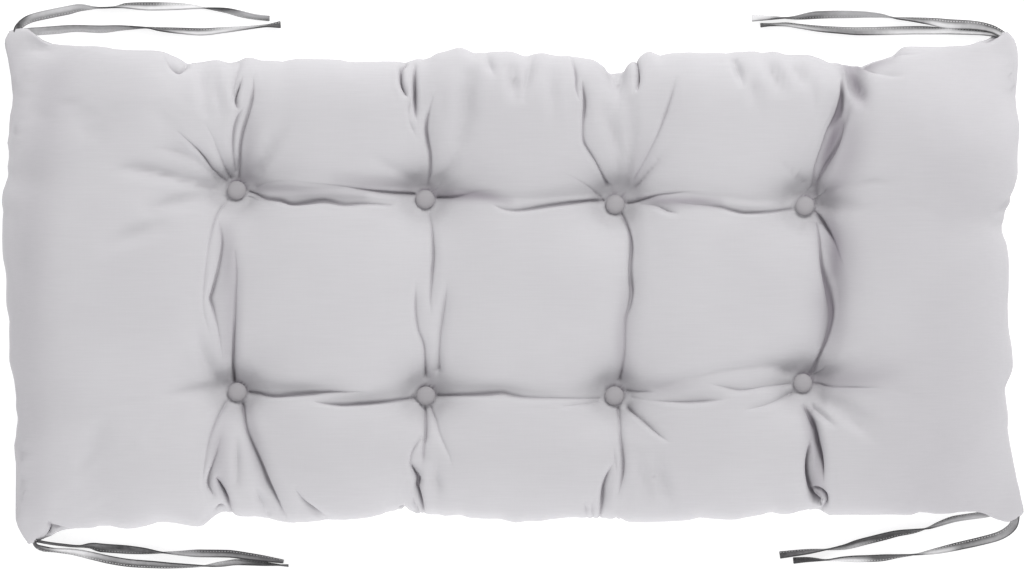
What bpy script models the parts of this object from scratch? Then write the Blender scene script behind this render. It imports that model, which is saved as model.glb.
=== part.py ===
"""Tufted floor cushion, lying on its back: one filled body, eight covered buttons and eight tie tapes.

The model is in metres with +Z up. The origin lies on the floor under the middle of the cushion and its
ties, +X runs along the cushion's length and the buttoned face looks up. Tables give millimetres.
"""
import math
from collections import namedtuple

import bmesh
import bpy
import numpy as np
from mathutils import Vector

MM = 0.001

# Heights and roundings of the filled body
CROWN_HEIGHT = 86.0
SEAM_HEIGHT = 36.0
CORNER_SEAM_HEIGHT = 13.0
SEAM_DROOP_REACH = 130.0
CORNER_THIN_REACH = 150.0
CORNER_THIN_SHARE = 0.14
FACE_ROUND = 70.0
FACE_ROUND_POWER = 2.4
BACK_ROUND = 48.0
BACK_ROUND_POWER = 2.0

# Tufts: each button is pulled down to a flat seat, and the back has a shallow dimple under it
BUTTON_RADIUS = 9.5
BUTTON_HEIGHT = 6.2
BUTTON_STEPS = 16
SEAT_RADIUS = 15.5
SEAT_BLEND = 8.0
SEAT_HEIGHT = 45.0
TUFT_DEPTH = 40.0
TUFT_REACH = 21.0
TUFT_SHARPNESS = 0.85
BACK_DIMPLE_RADIUS = 24.0
BACK_DIMPLE_DEPTH = 7.0
BACK_DIMPLE_STEPS = 10
SOFT_VALLEY_DEPTH = 7.0
SOFT_VALLEY_REACH = 42.0
FOLD_SHARPNESS = 1.3

# Button and back dimple sections: shares of the radius and of the height or depth
BUTTON_SECTION = ((0.76, 0.0), (0.96, 0.18), (1.0, 0.35), (0.9, 0.63), (0.6, 0.87), (0.25, 1.0))
BACK_DIMPLE_SECTION = ((1.0, 0.0), (0.5, 0.6), (0.17, 1.0))

# Gap between solids that touch on the real thing
SEAT_GAP = 0.3

# Tie tape, cut from the cover's cloth and stitched flat
TIE_WIDTH = 10.0
TIE_THICKNESS = 1.5
TIE_STEP = 9.0

# Mesh lines: steps in from each edge, steps to both sides of each crease line, lines between them
EDGE_STEPS = (0.0, 3.0, 10.0, 24.0, 46.0)
CREASE_STEPS = (-32.0, -22.0, -14.5, -7.5, 0.0, 7.5, 14.5, 22.0, 32.0)
END_LINES_ACROSS = 7
MID_LINES_ACROSS = 6
END_LINES_ALONG = 3
MID_LINES_ALONG = 6
OUTLINE_STEP = 4.0
LINE_ROUNDS = 12

EdgePoint = namedtuple("EdgePoint", "along out")
CreasePoint = namedtuple("CreasePoint", "along across")
Button = namedtuple("Button", "name x y")
FoldPoint = namedtuple("FoldPoint", "x y depth")
Fold = namedtuple("Fold", "name reach route")
TiePoint = namedtuple("TiePoint", "x y roll lift")

# Seam of the far long edge, from the left corner tip to the right one: along is x, out is y
FAR_EDGE = [EdgePoint(*row) for row in (
    (-502, 253), (-484, 257.5), (-476, 249), (-455, 241), (-407, 238.5), (-382, 235), (-350, 234.5),
    (-325, 221), (-312, 224.5), (-284, 223), (-264, 228), (-230, 224), (-216, 226.5), (-172, 226),
    (-104, 223.5), (-82, 229), (-52, 238), (-39, 232), (0, 234), (15, 228), (46, 230), (78, 227),
    (104, 212), (124, 227), (138, 234), (152, 230), (243, 234), (296, 230.5), (314, 223.5),
    (345, 218.5), (368, 227), (391, 239), (428, 239), (458, 241), (472, 246.5), (494, 255.5))]

# Seam of the near long edge, left to right
NEAR_EDGE = [EdgePoint(*row) for row in (
    (-481, -260.5), (-462, -252.5), (-446, -245), (-420, -243.5), (-408, -239.5), (-382, -243.5),
    (-347, -237), (-327, -240), (-313, -241.5), (-304, -237.5), (-288, -226.5), (-272, -232),
    (-244, -234), (-220, -238), (-194, -236.5), (-160, -235), (-132, -230), (-108, -223.5),
    (-94, -229), (-51, -230), (-32, -234), (-4, -236), (15, -236), (58, -232.5), (90, -233.5),
    (138, -237.5), (180, -235), (223, -235), (256, -227.5), (280, -229), (303, -224.5),
    (318, -231), (368, -230), (410, -227.5), (443, -229.5), (468, -227), (485, -236), (496, -239))]

# Seam of the left short edge, near to far: along is y, out is x
LEFT_EDGE = [EdgePoint(*row) for row in (
    (-260.5, -481), (-252, -490), (-243, -494), (-225, -496), (-180, -496.5), (-135, -494.5),
    (-112, -497), (-83, -501.5), (-47, -503), (-22, -505.5), (15, -506), (45, -510), (88, -510.5),
    (110, -504.5), (135, -504.5), (172, -502.5), (200, -501), (225, -505), (242, -507), (253, -502))]

# Seam of the right short edge, near to far
RIGHT_EDGE = [EdgePoint(*row) for row in (
    (-239, 496), (-234.5, 503), (-230, 508), (-220, 511), (-195, 507.5), (-168, 501), (-135, 497),
    (-110, 494), (-85, 501), (-60, 500), (-45, 497), (23, 497.5), (48, 495), (62, 490.5),
    (81, 498), (95, 502), (110, 506), (130, 505.5), (160, 508), (190, 504), (225, 506),
    (242, 504.5), (252, 499), (255.5, 494))]

# Main crease line through each column of buttons, near to far: along is y, across is x
COLUMN_CREASES = [[CreasePoint(*row) for row in column] for column in (
    ((-232, -229), (-205, -242), (-163, -260), (-107, -274.5), (-50, -277), (-15, -275), (40, -276),
     (94.5, -275), (130, -273), (160, -269), (190, -260), (226, -262)),
    ((-229, -94), (-200, -95), (-155, -88), (-110.7, -86), (-60, -84), (-15, -82), (25, -79),
     (85.5, -86.7), (120, -82), (150, -86), (180, -94), (226, -96)),
    ((-233, 92), (-190, 105), (-150, 107), (-110.7, 102.3), (-60, 113), (-20, 118), (30, 120),
     (80.5, 103), (110, 104), (150, 98), (180, 98), (213, 104)),
    ((-225, 303), (-190, 299), (-150, 300), (-98, 290.4), (-60, 309), (-10, 317), (30, 313),
     (79, 292.5), (120, 312), (160, 324), (190, 331), (222, 334)))]

# Main crease line through each row of buttons, left to right: along is x, across is y
ROW_CREASES = [[CreasePoint(*row) for row in line] for line in (
    ((-497, -110), (-330, -104), (-274.5, -107), (-212, -106), (-157, -114), (-86, -110.7),
     (-12, -106), (48, -111), (102.3, -110.7), (188, -112), (238, -104), (290.4, -98), (358, -101),
     (500, -104)),
    ((-507, 100), (-352, 115), (-275, 94.5), (-224, 86), (-160, 84), (-86.7, 85.5), (-42, 90),
     (13, 78), (58, 84), (103, 80.5), (160, 86), (243, 75), (292.5, 79), (348, 77), (493, 66)))]

BUTTONS = [Button(*row) for row in (
    ("button_far_1", -275.0, 94.5), ("button_far_2", -86.7, 85.5),
    ("button_far_3", 103.0, 80.5), ("button_far_4", 292.5, 79.0),
    ("button_near_1", -274.5, -107.0), ("button_near_2", -86.0, -110.7),
    ("button_near_3", 102.3, -110.7), ("button_near_4", 290.4, -98.0))]

# Folds sewn or drawn into the face. Reach is how far a fold's slopes spread to each side
FOLDS = [Fold(name, reach, [FoldPoint(*row) for row in route]) for name, reach, route in (
    ("far_row_1_low", 10, ((-262, 93, 15), (-224, 84, 16), (-180, 85.5, 15), (-160, 82, 15),
                           (-127, 83.5, 11), (-98, 82, 12))),
    ("far_row_1_high", 7, ((-257, 99, 14), (-222, 105, 6), (-172, 100, 7), (-152, 96, 11),
                           (-127, 92, 13), (-99, 92, 15))),
    ("far_row_2", 11, ((-75, 88, 16), (-57, 89, 13), (-38, 91, 9), (-18, 85, 6), (3, 76.5, 9),
                       (33, 81, 12), (58, 84, 14), (88, 85.5, 16))),
    ("far_row_3_high", 9, ((116, 83, 15), (133, 86, 12), (153, 90, 9), (182, 92, 2))),
    ("far_row_3_low", 10, ((145, 82, 4), (188, 81, 10), (228, 75, 11), (250, 74, 12),
                           (284, 78, 13))),
    ("near_row_1_high", 10, ((-262, -106, 16), (-212, -106, 16), (-187, -105.5, 12),
                             (-160, -106, 3))),
    ("near_row_1_low", 10, ((-200, -114, 3), (-177, -116.5, 10), (-150, -117, 14),
                            (-112, -114, 13), (-96, -111, 15))),
    ("near_row_2", 11, ((-75, -106.5, 16), (-47, -107, 15), (-12, -105.5, 14), (18, -110, 10),
                        (48, -111, 8), (90, -111.5, 13))),
    ("near_row_3_high", 10, ((115, -105, 15), (143, -106.5, 11), (172, -100, 6), (208, -86, 5),
                             (233, -83.5, 5), (275, -88, 9))),
    ("near_row_3_low", 9, ((138, -115, 4), (168, -115.5, 9), (188, -115.5, 9), (222, -112, 3))),
    ("near_row_3_end", 9, ((208, -99, 3), (223, -104, 7), (253, -101, 8), (279, -99, 12))),
    ("column_1_left", 11, ((-281, 80, 8), (-289, 60, 4), (-288, 45, 6), (-290, 25, 7), (-299, -14, 7),
                           (-295, -37, 5), (-290, -58, 2))),
    ("column_1_right", 9, ((-276, 30, 3), (-275, 0, 6), (-276.5, -35, 7), (-277, -65, 8),
                           (-277, -95, 12))),
    ("column_1_low_left", 8, ((-306, -62, 3), (-300, -80, 5), (-294, -90, 7), (-286, -99, 11))),
    ("column_2_far", 9, ((-82, 72, 10), (-81, 55, 7), (-80, 40, 9), (-79, 25, 9), (-82, -8, 4))),
    ("column_2_near_left", 8, ((-95, -3, 3), (-96, -25, 6), (-88, -65, 8), (-86, -95, 12))),
    ("column_2_near_right", 8, ((-65, 2, 3), (-67, -20, 6), (-73, -65, 6), (-78, -93, 9))),
    ("column_3", 10, ((109, 72, 14), (114, 57, 12), (120, 32, 11), (119, -5, 11), (118, -20, 11),
                      (113, -50, 9), (112, -73, 9), (105, -97, 12))),
    ("column_4_far", 9, ((303, 73, 17), (310, 62, 15), (317, 48, 12), (326, 22, 3))),
    ("column_4", 11, ((304, 58, 6), (309, 38, 13), (314, 12, 16), (318, -15, 16), (315, -45, 14),
                      (307, -75, 15), (300, -87, 16))),
    ("far_1_main", 9, ((-257, 214, 4), (-260, 187, 9), (-266, 170, 10), (-273, 145, 10),
                       (-275, 108, 15))),
    ("far_1_fan_high", 8, ((-300, 152, 3), (-292, 130, 7), (-281, 108, 14))),
    ("far_1_fan_mid", 7, ((-332, 152, 3), (-314, 137, 7), (-296, 115, 10), (-286, 103, 14))),
    ("far_1_fan_low", 11, ((-390, 119, 3), (-352, 115, 6), (-322, 107, 7), (-288, 98, 13))),
    ("far_1_left_low", 12, ((-366, 75, 2), (-340, 82, 4), (-312, 88, 3))),
    ("far_2_main", 8, ((-81, 187, 3), (-85, 166, 9), (-84, 150, 10), (-82, 120, 10),
                       (-85, 100, 15))),
    ("far_2_edge", 6, ((-96.5, 215, 4), (-96.5, 190, 9), (-96, 163, 4))),
    ("far_2_right", 14, ((-44, 214, 3), (-46, 180, 4), (-52, 150, 3))),
    ("far_3_left", 8, ((61, 223, 4), (63, 203, 7), (71, 178, 12), (71, 150, 9), (85, 120, 8),
                       (94, 97, 14))),
    ("far_3_notch", 9, ((104, 214, 5), (104, 196, 4))),
    ("far_3_mid", 9, ((88, 171, 3), (100, 155, 6), (108, 120, 6))),
    ("far_3_right_long", 7, ((161, 202, 3), (159, 188, 7), (148, 155, 8), (132, 125, 4))),
    ("far_3_right", 8, ((152, 130, 4), (140, 117, 9), (118, 96, 15))),
    ("far_3_shoulder", 7, ((70, 107, 3), (81, 98, 9), (92, 89, 14))),
    ("far_4_main", 10, ((330, 214, 7), (332, 190, 13), (326, 165, 15), (319, 138, 14),
                        (308, 105, 14), (302, 92, 17))),
    ("far_4_recess", 7, ((337, 213, 8), (342, 196, 13), (350, 178, 5))),
    ("far_4_right", 15, ((306, 80, 16), (328, 79, 11), (348, 77, 7), (370, 75, 2))),
    ("near_1_main", 8, ((-270, -119, 12), (-263, -150, 10), (-254, -175, 13), (-242, -205, 12),
                        (-230, -231, 6))),
    ("near_1_left", 8, ((-279, -116, 10), (-291, -143, 5), (-299, -177, 8), (-300, -203, 5))),
    ("near_1_edge", 7, ((-293, -192, 5), (-289, -206, 12), (-283, -222, 7))),
    ("near_2_main", 8, ((-86, -120, 13), (-86, -145, 9), (-90, -168, 6), (-94, -190, 11),
                        (-93, -210, 10), (-90, -225, 6))),
    ("near_2_right", 8, ((-78, -121, 9), (-71, -152, 5), (-60, -180, 2))),
    ("near_3_main", 8, ((105, -120, 12), (108, -150, 9), (110, -180, 11), (105, -208, 4))),
    ("near_3_left", 7, ((96, -182, 4), (93, -203, 12), (87, -230, 6))),
    ("near_3_right", 8, ((113, -119, 12), (128, -133, 9), (148, -151, 7), (158, -157, 2))),
    ("near_4_main", 8, ((293, -110, 15), (298, -133, 14), (305, -160, 14), (310, -188, 4))),
    ("near_4_edge", 7, ((297, -156, 6), (296, -180, 13), (300, -206, 14), (304, -221, 8))),
    ("near_4_right", 16, ((303, -94, 14), (323, -94, 11), (343, -96, 8), (372, -101, 2))),
    ("near_4_fan", 10, ((299, -112, 10), (318, -132, 5), (342, -150, 2))))]

# Tie tapes: a row for each place where the tape bends or turns over. Roll is its turn about its own
# length in degrees, 0 lying flat and 90 standing on edge. Lift is its height off the floor.
TIES = {
    "tie_far_left_outer": [TiePoint(*row) for row in (
        (-500.5, 254.8, 80, 9), (-491, 263, 40, 4), (-481, 268, 32, 1), (-462, 272.5, 26, 0),
        (-447, 275.5, 26, 0), (-431, 278.5, 50, 0), (-415, 278.2, 88, 0), (-399, 278.8, 96, 0),
        (-387, 280.2, 122, 0), (-362, 279.6, 148, 0), (-342, 279.6, 140, 0), (-322, 279.2, 118, 0),
        (-309, 278, 94, 0), (-287, 275.5, 64, 0), (-272, 272, 52, 0), (-257, 269, 60, 0),
        (-243, 267.5, 62, 0))],
    "tie_far_left_inner": [TiePoint(*row) for row in (
        (-482.5, 254.5, 84, 9), (-472, 255.5, 38, 4), (-457, 256, 36, 1), (-437, 257.5, 48, 0),
        (-412, 256.7, 42, 0), (-392, 258, 62, 0), (-368, 258.3, 90, 0), (-352, 256.5, 112, 0),
        (-332, 255, 128, 0), (-312, 254, 136, 0), (-287, 256, 124, 0), (-267, 258, 110, 0),
        (-248, 260, 102, 0), (-232, 261.3, 134, 0))],
    "tie_far_right_outer": [TiePoint(*row) for row in (
        (492.8, 256.3, 84, 9), (478, 258, 36, 5), (458, 261, 20, 1), (438, 262, 8, 0),
        (418, 264.5, 46, 0), (398, 266.5, 70, 0), (386, 267.5, 82, 0), (368, 270.5, 112, 0),
        (348, 271.5, 130, 0), (333, 271.5, 138, 0), (308, 271, 138, 0), (277, 267.8, 94, 0),
        (258, 268, 66, 0), (240.5, 267.7, 46, 0))],
    "tie_far_right_inner": [TiePoint(*row) for row in (
        (483, 252.6, 86, 9), (470, 251, 62, 4), (455, 251.5, 52, 0), (438, 252.4, 50, 0),
        (408, 255.5, 32, 0), (378, 255, 32, 0), (348, 254.5, 36, 0), (328, 255.5, 46, 0),
        (308, 257, 53, 0), (288, 259.5, 64, 0), (273, 261.3, 70, 0), (260, 261, 76, 0),
        (249, 260.5, 66, 0))],
    "tie_near_left_outer": [TiePoint(*row) for row in (
        (-480.7, -261.4, 86, 9), (-470, -263.6, 80, 4), (-459, -265, 74, 1), (-442, -267, 66, 0),
        (-422, -271.5, 36, 0), (-402, -276, 32, 0), (-382, -279, 36, 0), (-362, -280.3, 42, 0),
        (-337, -281.5, 60, 0), (-312, -281.7, 84, 0), (-292, -280, 118, 0), (-275, -278, 124, 0),
        (-250, -279.5, 110, 0), (-224, -281.5, 78, 0))],
    "tie_near_left_inner": [TiePoint(*row) for row in (
        (-470.6, -257.6, 84, 9), (-452, -260.4, 76, 3), (-434, -262, 80, 0), (-424, -261.5, 60, 0),
        (-412, -263.6, 26, 0), (-392, -265, 26, 0), (-372, -266.5, 46, 0), (-350, -268.3, 88, 0),
        (-332, -269, 114, 0), (-312, -269.2, 138, 0), (-287, -269.5, 138, 0), (-262, -272.5, 132, 0),
        (-229, -277.3, 106, 0))],
    "tie_near_right_outer": [TiePoint(*row) for row in (
        (500.3, -237.6, 84, 9), (503.4, -245, 60, 3), (496, -250.6, 48, 1), (488, -254, 42, 0),
        (473, -257.5, 42, 0), (448, -262, 37, 0), (428, -266.5, 54, 0), (406, -270.3, 88, 0),
        (388, -272, 108, 0), (368, -274, 134, 0), (348, -274.8, 134, 0), (333, -275, 120, 0),
        (316, -276, 94, 0), (298, -275.5, 66, 0), (282, -276.5, 54, 0))],
    "tie_near_right_inner": [TiePoint(*row) for row in (
        (474, -232.6, 86, 9), (458, -233.4, 54, 4), (443, -235, 54, 1), (428, -240, 66, 0),
        (418, -243.8, 84, 0), (403, -247, 114, 0), (388, -249, 128, 0), (373, -252.5, 138, 0),
        (348, -258.8, 138, 0), (333, -263, 120, 0), (317, -265.3, 94, 0), (293, -268, 60, 0),
        (268.5, -271, 46, 0))],
}


def through_rows(table, places):
    """Second column of a table at some places in its first, on a smooth curve with no overshoot."""
    rows = np.array(table, dtype=float)
    knots = rows[:, 0]
    values = rows[:, 1]
    widths = np.diff(knots)
    slopes = np.diff(values) / widths
    tangents = np.zeros(len(knots))
    same_way = slopes[:-1] * slopes[1:] > 0
    sums = np.where(same_way, slopes[:-1] + slopes[1:], 1.0)
    tangents[1:-1] = np.where(same_way, 2 * slopes[:-1] * slopes[1:] / sums, 0.0)
    tangents[0] = slopes[0]
    tangents[-1] = slopes[-1]
    inside = np.clip(places, knots[0], knots[-1])
    span = np.clip(np.searchsorted(knots, inside, side="right") - 1, 0, len(widths) - 1)
    width = widths[span]
    share = (inside - knots[span]) / width
    rest = 1 - share
    return (rest * rest * (1 + 2 * share) * values[span]
            + share * rest * rest * width * tangents[span]
            + share * share * (3 - 2 * share) * values[span + 1]
            - share * share * rest * width * tangents[span + 1])


def eased(share):
    """Smooth step from 0 to 1."""
    held = np.clip(share, 0.0, 1.0)
    return held * held * (3 - 2 * held)


def rounded(distance, reach, power):
    """Rise of a rounded edge, from 0 at the seam to 1 at its reach."""
    left = 1 - np.clip(distance / reach, 0.0, 1.0)
    return (1 - left ** power) ** (1 / power)


def mesh_lines(low_edge, creases, high_edge, end_count, mid_count):
    """Places of all mesh lines of one direction, dense beside the edges and the creases."""
    lines = [low_edge + step for step in EDGE_STEPS]
    done = low_edge + EDGE_STEPS[-1]
    count = end_count
    for crease in creases:
        start = crease + CREASE_STEPS[0]
        shares = np.arange(1, count + 1) / (count + 1)
        lines += [done + (start - done) * share for share in shares]
        lines += [crease + step for step in CREASE_STEPS]
        done = crease + CREASE_STEPS[-1]
        count = mid_count
    last = high_edge - EDGE_STEPS[-1]
    shares = np.arange(1, end_count + 1) / (end_count + 1)
    lines += [done + (last - done) * share for share in shares]
    lines += [high_edge - step for step in reversed(EDGE_STEPS)]
    return lines


def face_grid():
    """X and Y of the face's mesh, whose lines follow the seam and the main creases."""
    columns = len(mesh_lines(0.0, [0.0] * len(COLUMN_CREASES), 0.0, END_LINES_ACROSS, MID_LINES_ACROSS))
    rows = len(mesh_lines(0.0, [0.0] * len(ROW_CREASES), 0.0, END_LINES_ALONG, MID_LINES_ALONG))
    across = np.linspace(LEFT_EDGE[-1].out, RIGHT_EDGE[-1].out, columns)
    along = np.linspace(NEAR_EDGE[0].out, FAR_EDGE[0].out, rows)
    x, y = np.meshgrid(across, along, indexing="ij")
    column_index = np.arange(columns)
    row_index = np.arange(rows)
    for _ in range(LINE_ROUNDS):
        lines = mesh_lines(through_rows(LEFT_EDGE, y), [through_rows(c, y) for c in COLUMN_CREASES],
                           through_rows(RIGHT_EDGE, y), END_LINES_ACROSS, MID_LINES_ACROSS)
        x = np.array(lines)[column_index, column_index, :]
        lines = mesh_lines(through_rows(NEAR_EDGE, x), [through_rows(r, x) for r in ROW_CREASES],
                           through_rows(FAR_EDGE, x), END_LINES_ALONG, MID_LINES_ALONG)
        y = np.array(lines)[row_index, :, row_index].T
    return x, y


def segment_distances(x, y, start, end):
    """Distance from each place to a straight run, and how far along the run the nearest point is."""
    run_x = end[0] - start[0]
    run_y = end[1] - start[1]
    share = ((x - start[0]) * run_x + (y - start[1]) * run_y) / (run_x * run_x + run_y * run_y)
    share = np.clip(share, 0.0, 1.0)
    return np.hypot(x - start[0] - share * run_x, y - start[1] - share * run_y), share


def seam_outline():
    """Points around the seam, a few millimetres apart."""
    points = []
    for table in (NEAR_EDGE, RIGHT_EDGE):
        places = np.arange(table[0].along, table[-1].along, OUTLINE_STEP)
        points.append(np.column_stack((places, through_rows(table, places))))
    for table in (FAR_EDGE, LEFT_EDGE):
        places = np.arange(table[-1].along, table[0].along, -OUTLINE_STEP)
        points.append(np.column_stack((places, through_rows(table, places))))
    near, right, far, left = points
    return [tuple(point) for point in np.vstack((near, right[:, ::-1], far, left[:, ::-1]))]


def seam_distance(x, y):
    """Distance from each place to the seam."""
    outline = seam_outline()
    nearest = np.full(x.shape, np.inf)
    for start, end in zip(outline, outline[1:] + outline[:1]):
        nearest = np.minimum(nearest, segment_distances(x, y, start, end)[0])
    return nearest


def corner_distance(x, y):
    """Distance from each place to the nearest of the four corner tips."""
    tips = [(FAR_EDGE[0].along, FAR_EDGE[0].out), (FAR_EDGE[-1].along, FAR_EDGE[-1].out),
            (NEAR_EDGE[0].along, NEAR_EDGE[0].out), (NEAR_EDGE[-1].along, NEAR_EDGE[-1].out)]
    return np.min([np.hypot(x - tip_x, y - tip_y) for tip_x, tip_y in tips], axis=0)


def seam_height(x, y):
    """Height of the seam, which droops towards the corner tips."""
    droop = eased(corner_distance(x, y) / SEAM_DROOP_REACH)
    return CORNER_SEAM_HEIGHT + (SEAM_HEIGHT - CORNER_SEAM_HEIGHT) * droop


def fold_depth(x, y, fold):
    """How deep a fold draws the face in at each place."""
    deepest = np.zeros(x.shape)
    for start, end in zip(fold.route, fold.route[1:]):
        away, share = segment_distances(x, y, start, end)
        depth = start.depth + (end.depth - start.depth) * share
        deepest = np.maximum(deepest, depth * np.exp(-(away / fold.reach) ** FOLD_SHARPNESS))
    return deepest


def button_distance(x, y):
    """Distance from each place to the nearest button."""
    return np.min([np.hypot(x - button.x, y - button.y) for button in BUTTONS], axis=0)


def face_height(x, y):
    """Height of the buttoned face: a crowned filling, drawn in at tufts, valleys and folds."""
    seam = seam_height(x, y)
    thin = CORNER_THIN_SHARE + (1 - CORNER_THIN_SHARE) * eased(corner_distance(x, y) / CORNER_THIN_REACH)
    edge = rounded(seam_distance(x, y), FACE_ROUND, FACE_ROUND_POWER)
    pulls = [fold_depth(x, y, fold) for fold in FOLDS]
    for button in BUTTONS:
        away = np.maximum(np.hypot(x - button.x, y - button.y) - SEAT_RADIUS, 0.0)
        pulls.append(TUFT_DEPTH * np.exp(-(away / TUFT_REACH) ** TUFT_SHARPNESS))
    for row in ROW_CREASES:
        away = np.abs(y - through_rows(row, x))
        pulls.append(SOFT_VALLEY_DEPTH * np.exp(-(away / SOFT_VALLEY_REACH) ** 2))
    for column in COLUMN_CREASES:
        away = np.abs(x - through_rows(column, y))
        pulls.append(SOFT_VALLEY_DEPTH * np.exp(-(away / SOFT_VALLEY_REACH) ** 2))
    pull = np.sqrt(np.sum(np.square(pulls), axis=0))
    height = seam + ((CROWN_HEIGHT - SEAM_HEIGHT) * thin - pull * thin) * edge
    seat = eased((button_distance(x, y) - SEAT_RADIUS) / SEAT_BLEND)
    return SEAT_HEIGHT + (height - SEAT_HEIGHT) * seat


def back_height(x, y):
    """Height of the back, flat on the floor inside its rounded edge."""
    return seam_height(x, y) * (1 - rounded(seam_distance(x, y), BACK_ROUND, BACK_ROUND_POWER))


def cloth_material(name, colour, roughness):
    """Matt woven cloth."""
    material = bpy.data.materials.new(name)
    material.use_nodes = True
    shader = material.node_tree.nodes["Principled BSDF"]
    shader.inputs["Base Color"].default_value = (*colour, 1.0)
    shader.inputs["Roughness"].default_value = roughness
    shader.inputs["Metallic"].default_value = 0.0
    return material


def finish(bm, name, material, smooth_angle):
    """Turns a closed mesh into a named object with its material."""
    bmesh.ops.recalc_face_normals(bm, faces=bm.faces)
    mesh = bpy.data.meshes.new(name)
    bm.to_mesh(mesh)
    bm.free()
    mesh.shade_smooth()
    mesh.set_sharp_from_angle(angle=math.radians(smooth_angle))
    mesh.materials.append(material)
    piece = bpy.data.objects.new(name, mesh)
    bpy.context.scene.collection.objects.link(piece)
    return piece


def add_back_dimple(bm, button):
    """Shallow dimple where a tuft's thread draws the back up; returns the edges of its rim."""
    rings = []
    for radius_share, depth_share in BACK_DIMPLE_SECTION:
        radius = BACK_DIMPLE_RADIUS * radius_share
        ring = []
        for step in range(BACK_DIMPLE_STEPS):
            turn = 2 * math.pi * step / BACK_DIMPLE_STEPS
            place = Vector((button.x + radius * math.cos(turn), button.y + radius * math.sin(turn),
                            BACK_DIMPLE_DEPTH * depth_share))
            ring.append(bm.verts.new(place * MM))
        rings.append(ring)
    for outer, inner in zip(rings, rings[1:]):
        for step in range(BACK_DIMPLE_STEPS):
            after = (step + 1) % BACK_DIMPLE_STEPS
            bm.faces.new((outer[step], outer[after], inner[after], inner[step]))
    bm.faces.new(rings[-1])
    rim = rings[0]
    return [bm.edges.get((rim[step - 1], rim[step])) for step in range(BACK_DIMPLE_STEPS)]


def cushion():
    """The filled body: face and back share the seam, and the flat of the back lies on the floor."""
    x, y = face_grid()
    face_z = face_height(x, y)
    back_z = back_height(x, y)
    columns, rows = x.shape
    rim = len(EDGE_STEPS) - 1
    bm = bmesh.new()
    face = {}
    back = {}
    for i in range(columns):
        for j in range(rows):
            inset = min(i, j, columns - 1 - i, rows - 1 - j)
            if inset == 0:
                face_z[i, j] = back_z[i, j] = seam_height(x[i, j], y[i, j])
            face[i, j] = bm.verts.new(Vector((x[i, j], y[i, j], face_z[i, j])) * MM)
            if inset == 0:
                back[i, j] = face[i, j]
            elif inset < rim:
                back[i, j] = bm.verts.new(Vector((x[i, j], y[i, j], back_z[i, j])) * MM)
            elif inset == rim:
                back[i, j] = bm.verts.new(Vector((x[i, j], y[i, j], 0.0)) * MM)
    for i in range(columns - 1):
        for j in range(rows - 1):
            cell = ((i, j), (i + 1, j), (i + 1, j + 1), (i, j + 1))
            bm.faces.new([face[corner] for corner in cell])
            if all(corner in back for corner in cell):
                bm.faces.new([back[corner] for corner in reversed(cell)])
    flat_rim = [edge for edge in bm.edges if edge.is_boundary]
    for button in BUTTONS:
        flat_rim += add_back_dimple(bm, button)
    bmesh.ops.triangle_fill(bm, use_beauty=True, use_dissolve=False, edges=flat_rim,
                            normal=Vector((0.0, 0.0, -1.0)))
    return finish(bm, "cushion", cloth_material("cushion_cloth", (0.60, 0.59, 0.61), 0.9), 80)


def covered_button(button, material):
    """Domed button covered in the cushion's cloth, sitting in its tuft."""
    bm = bmesh.new()
    rings = []
    for radius_share, height_share in BUTTON_SECTION:
        radius = BUTTON_RADIUS * radius_share
        height = BUTTON_HEIGHT * height_share
        ring = []
        for step in range(BUTTON_STEPS):
            turn = 2 * math.pi * step / BUTTON_STEPS
            ring.append(bm.verts.new(Vector((radius * math.cos(turn), radius * math.sin(turn), height)) * MM))
        rings.append(ring)
    for lower, upper in zip(rings, rings[1:]):
        for step in range(BUTTON_STEPS):
            after = (step + 1) % BUTTON_STEPS
            bm.faces.new((lower[step], lower[after], upper[after], upper[step]))
    bm.faces.new(rings[0])
    bm.faces.new(rings[-1])
    piece = finish(bm, button.name, material, 50)
    piece.location = Vector((button.x, button.y, SEAT_HEIGHT + SEAT_GAP)) * MM
    return piece


def tie(name, points, material):
    """Flat tape that leaves the corner seam, drops to the floor and lies there, turning over."""
    rows = np.array(points, dtype=float)
    runs = np.hypot(np.diff(rows[:, 0]), np.diff(rows[:, 1]))
    along = np.concatenate(([0.0], np.cumsum(runs)))
    places = np.linspace(0.0, along[-1], int(round(along[-1] / TIE_STEP)) + 1)
    x, y, roll, lift = (through_rows(np.column_stack((along, rows[:, column])), places) for column in range(4))
    heading = np.arctan2(np.gradient(y), np.gradient(x))
    bm = bmesh.new()
    sections = []
    for step in range(len(places)):
        turn = math.radians(roll[step])
        side = Vector((-math.sin(heading[step]), math.cos(heading[step]), 0.0))
        up = Vector((0.0, 0.0, 1.0))
        wide = (side * math.cos(turn) + up * math.sin(turn)) * (TIE_WIDTH / 2)
        thick = (up * math.cos(turn) - side * math.sin(turn)) * (TIE_THICKNESS / 2)
        middle = Vector((x[step], y[step], lift[step] + abs(wide.z) + abs(thick.z)))
        corners = (middle - wide - thick, middle + wide - thick, middle + wide + thick, middle - wide + thick)
        sections.append([bm.verts.new(corner * MM) for corner in corners])
    for before, after in zip(sections, sections[1:]):
        for corner in range(4):
            other = (corner + 1) % 4
            bm.faces.new((before[corner], before[other], after[other], after[corner]))
    bm.faces.new(sections[0])
    bm.faces.new(sections[-1])
    return finish(bm, name, material, 60)


for old in list(bpy.data.objects):
    bpy.data.objects.remove(old, do_unlink=True)

cushion()
button_cloth = cloth_material("button_cloth", (0.52, 0.51, 0.53), 0.9)
for each_button in BUTTONS:
    covered_button(each_button, button_cloth)
tie_cloth = cloth_material("tie_cloth", (0.40, 0.39, 0.42), 0.9)
for tie_name, tie_points in TIES.items():
    tie(tie_name, tie_points, tie_cloth)
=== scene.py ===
import math
from collections import namedtuple

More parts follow.
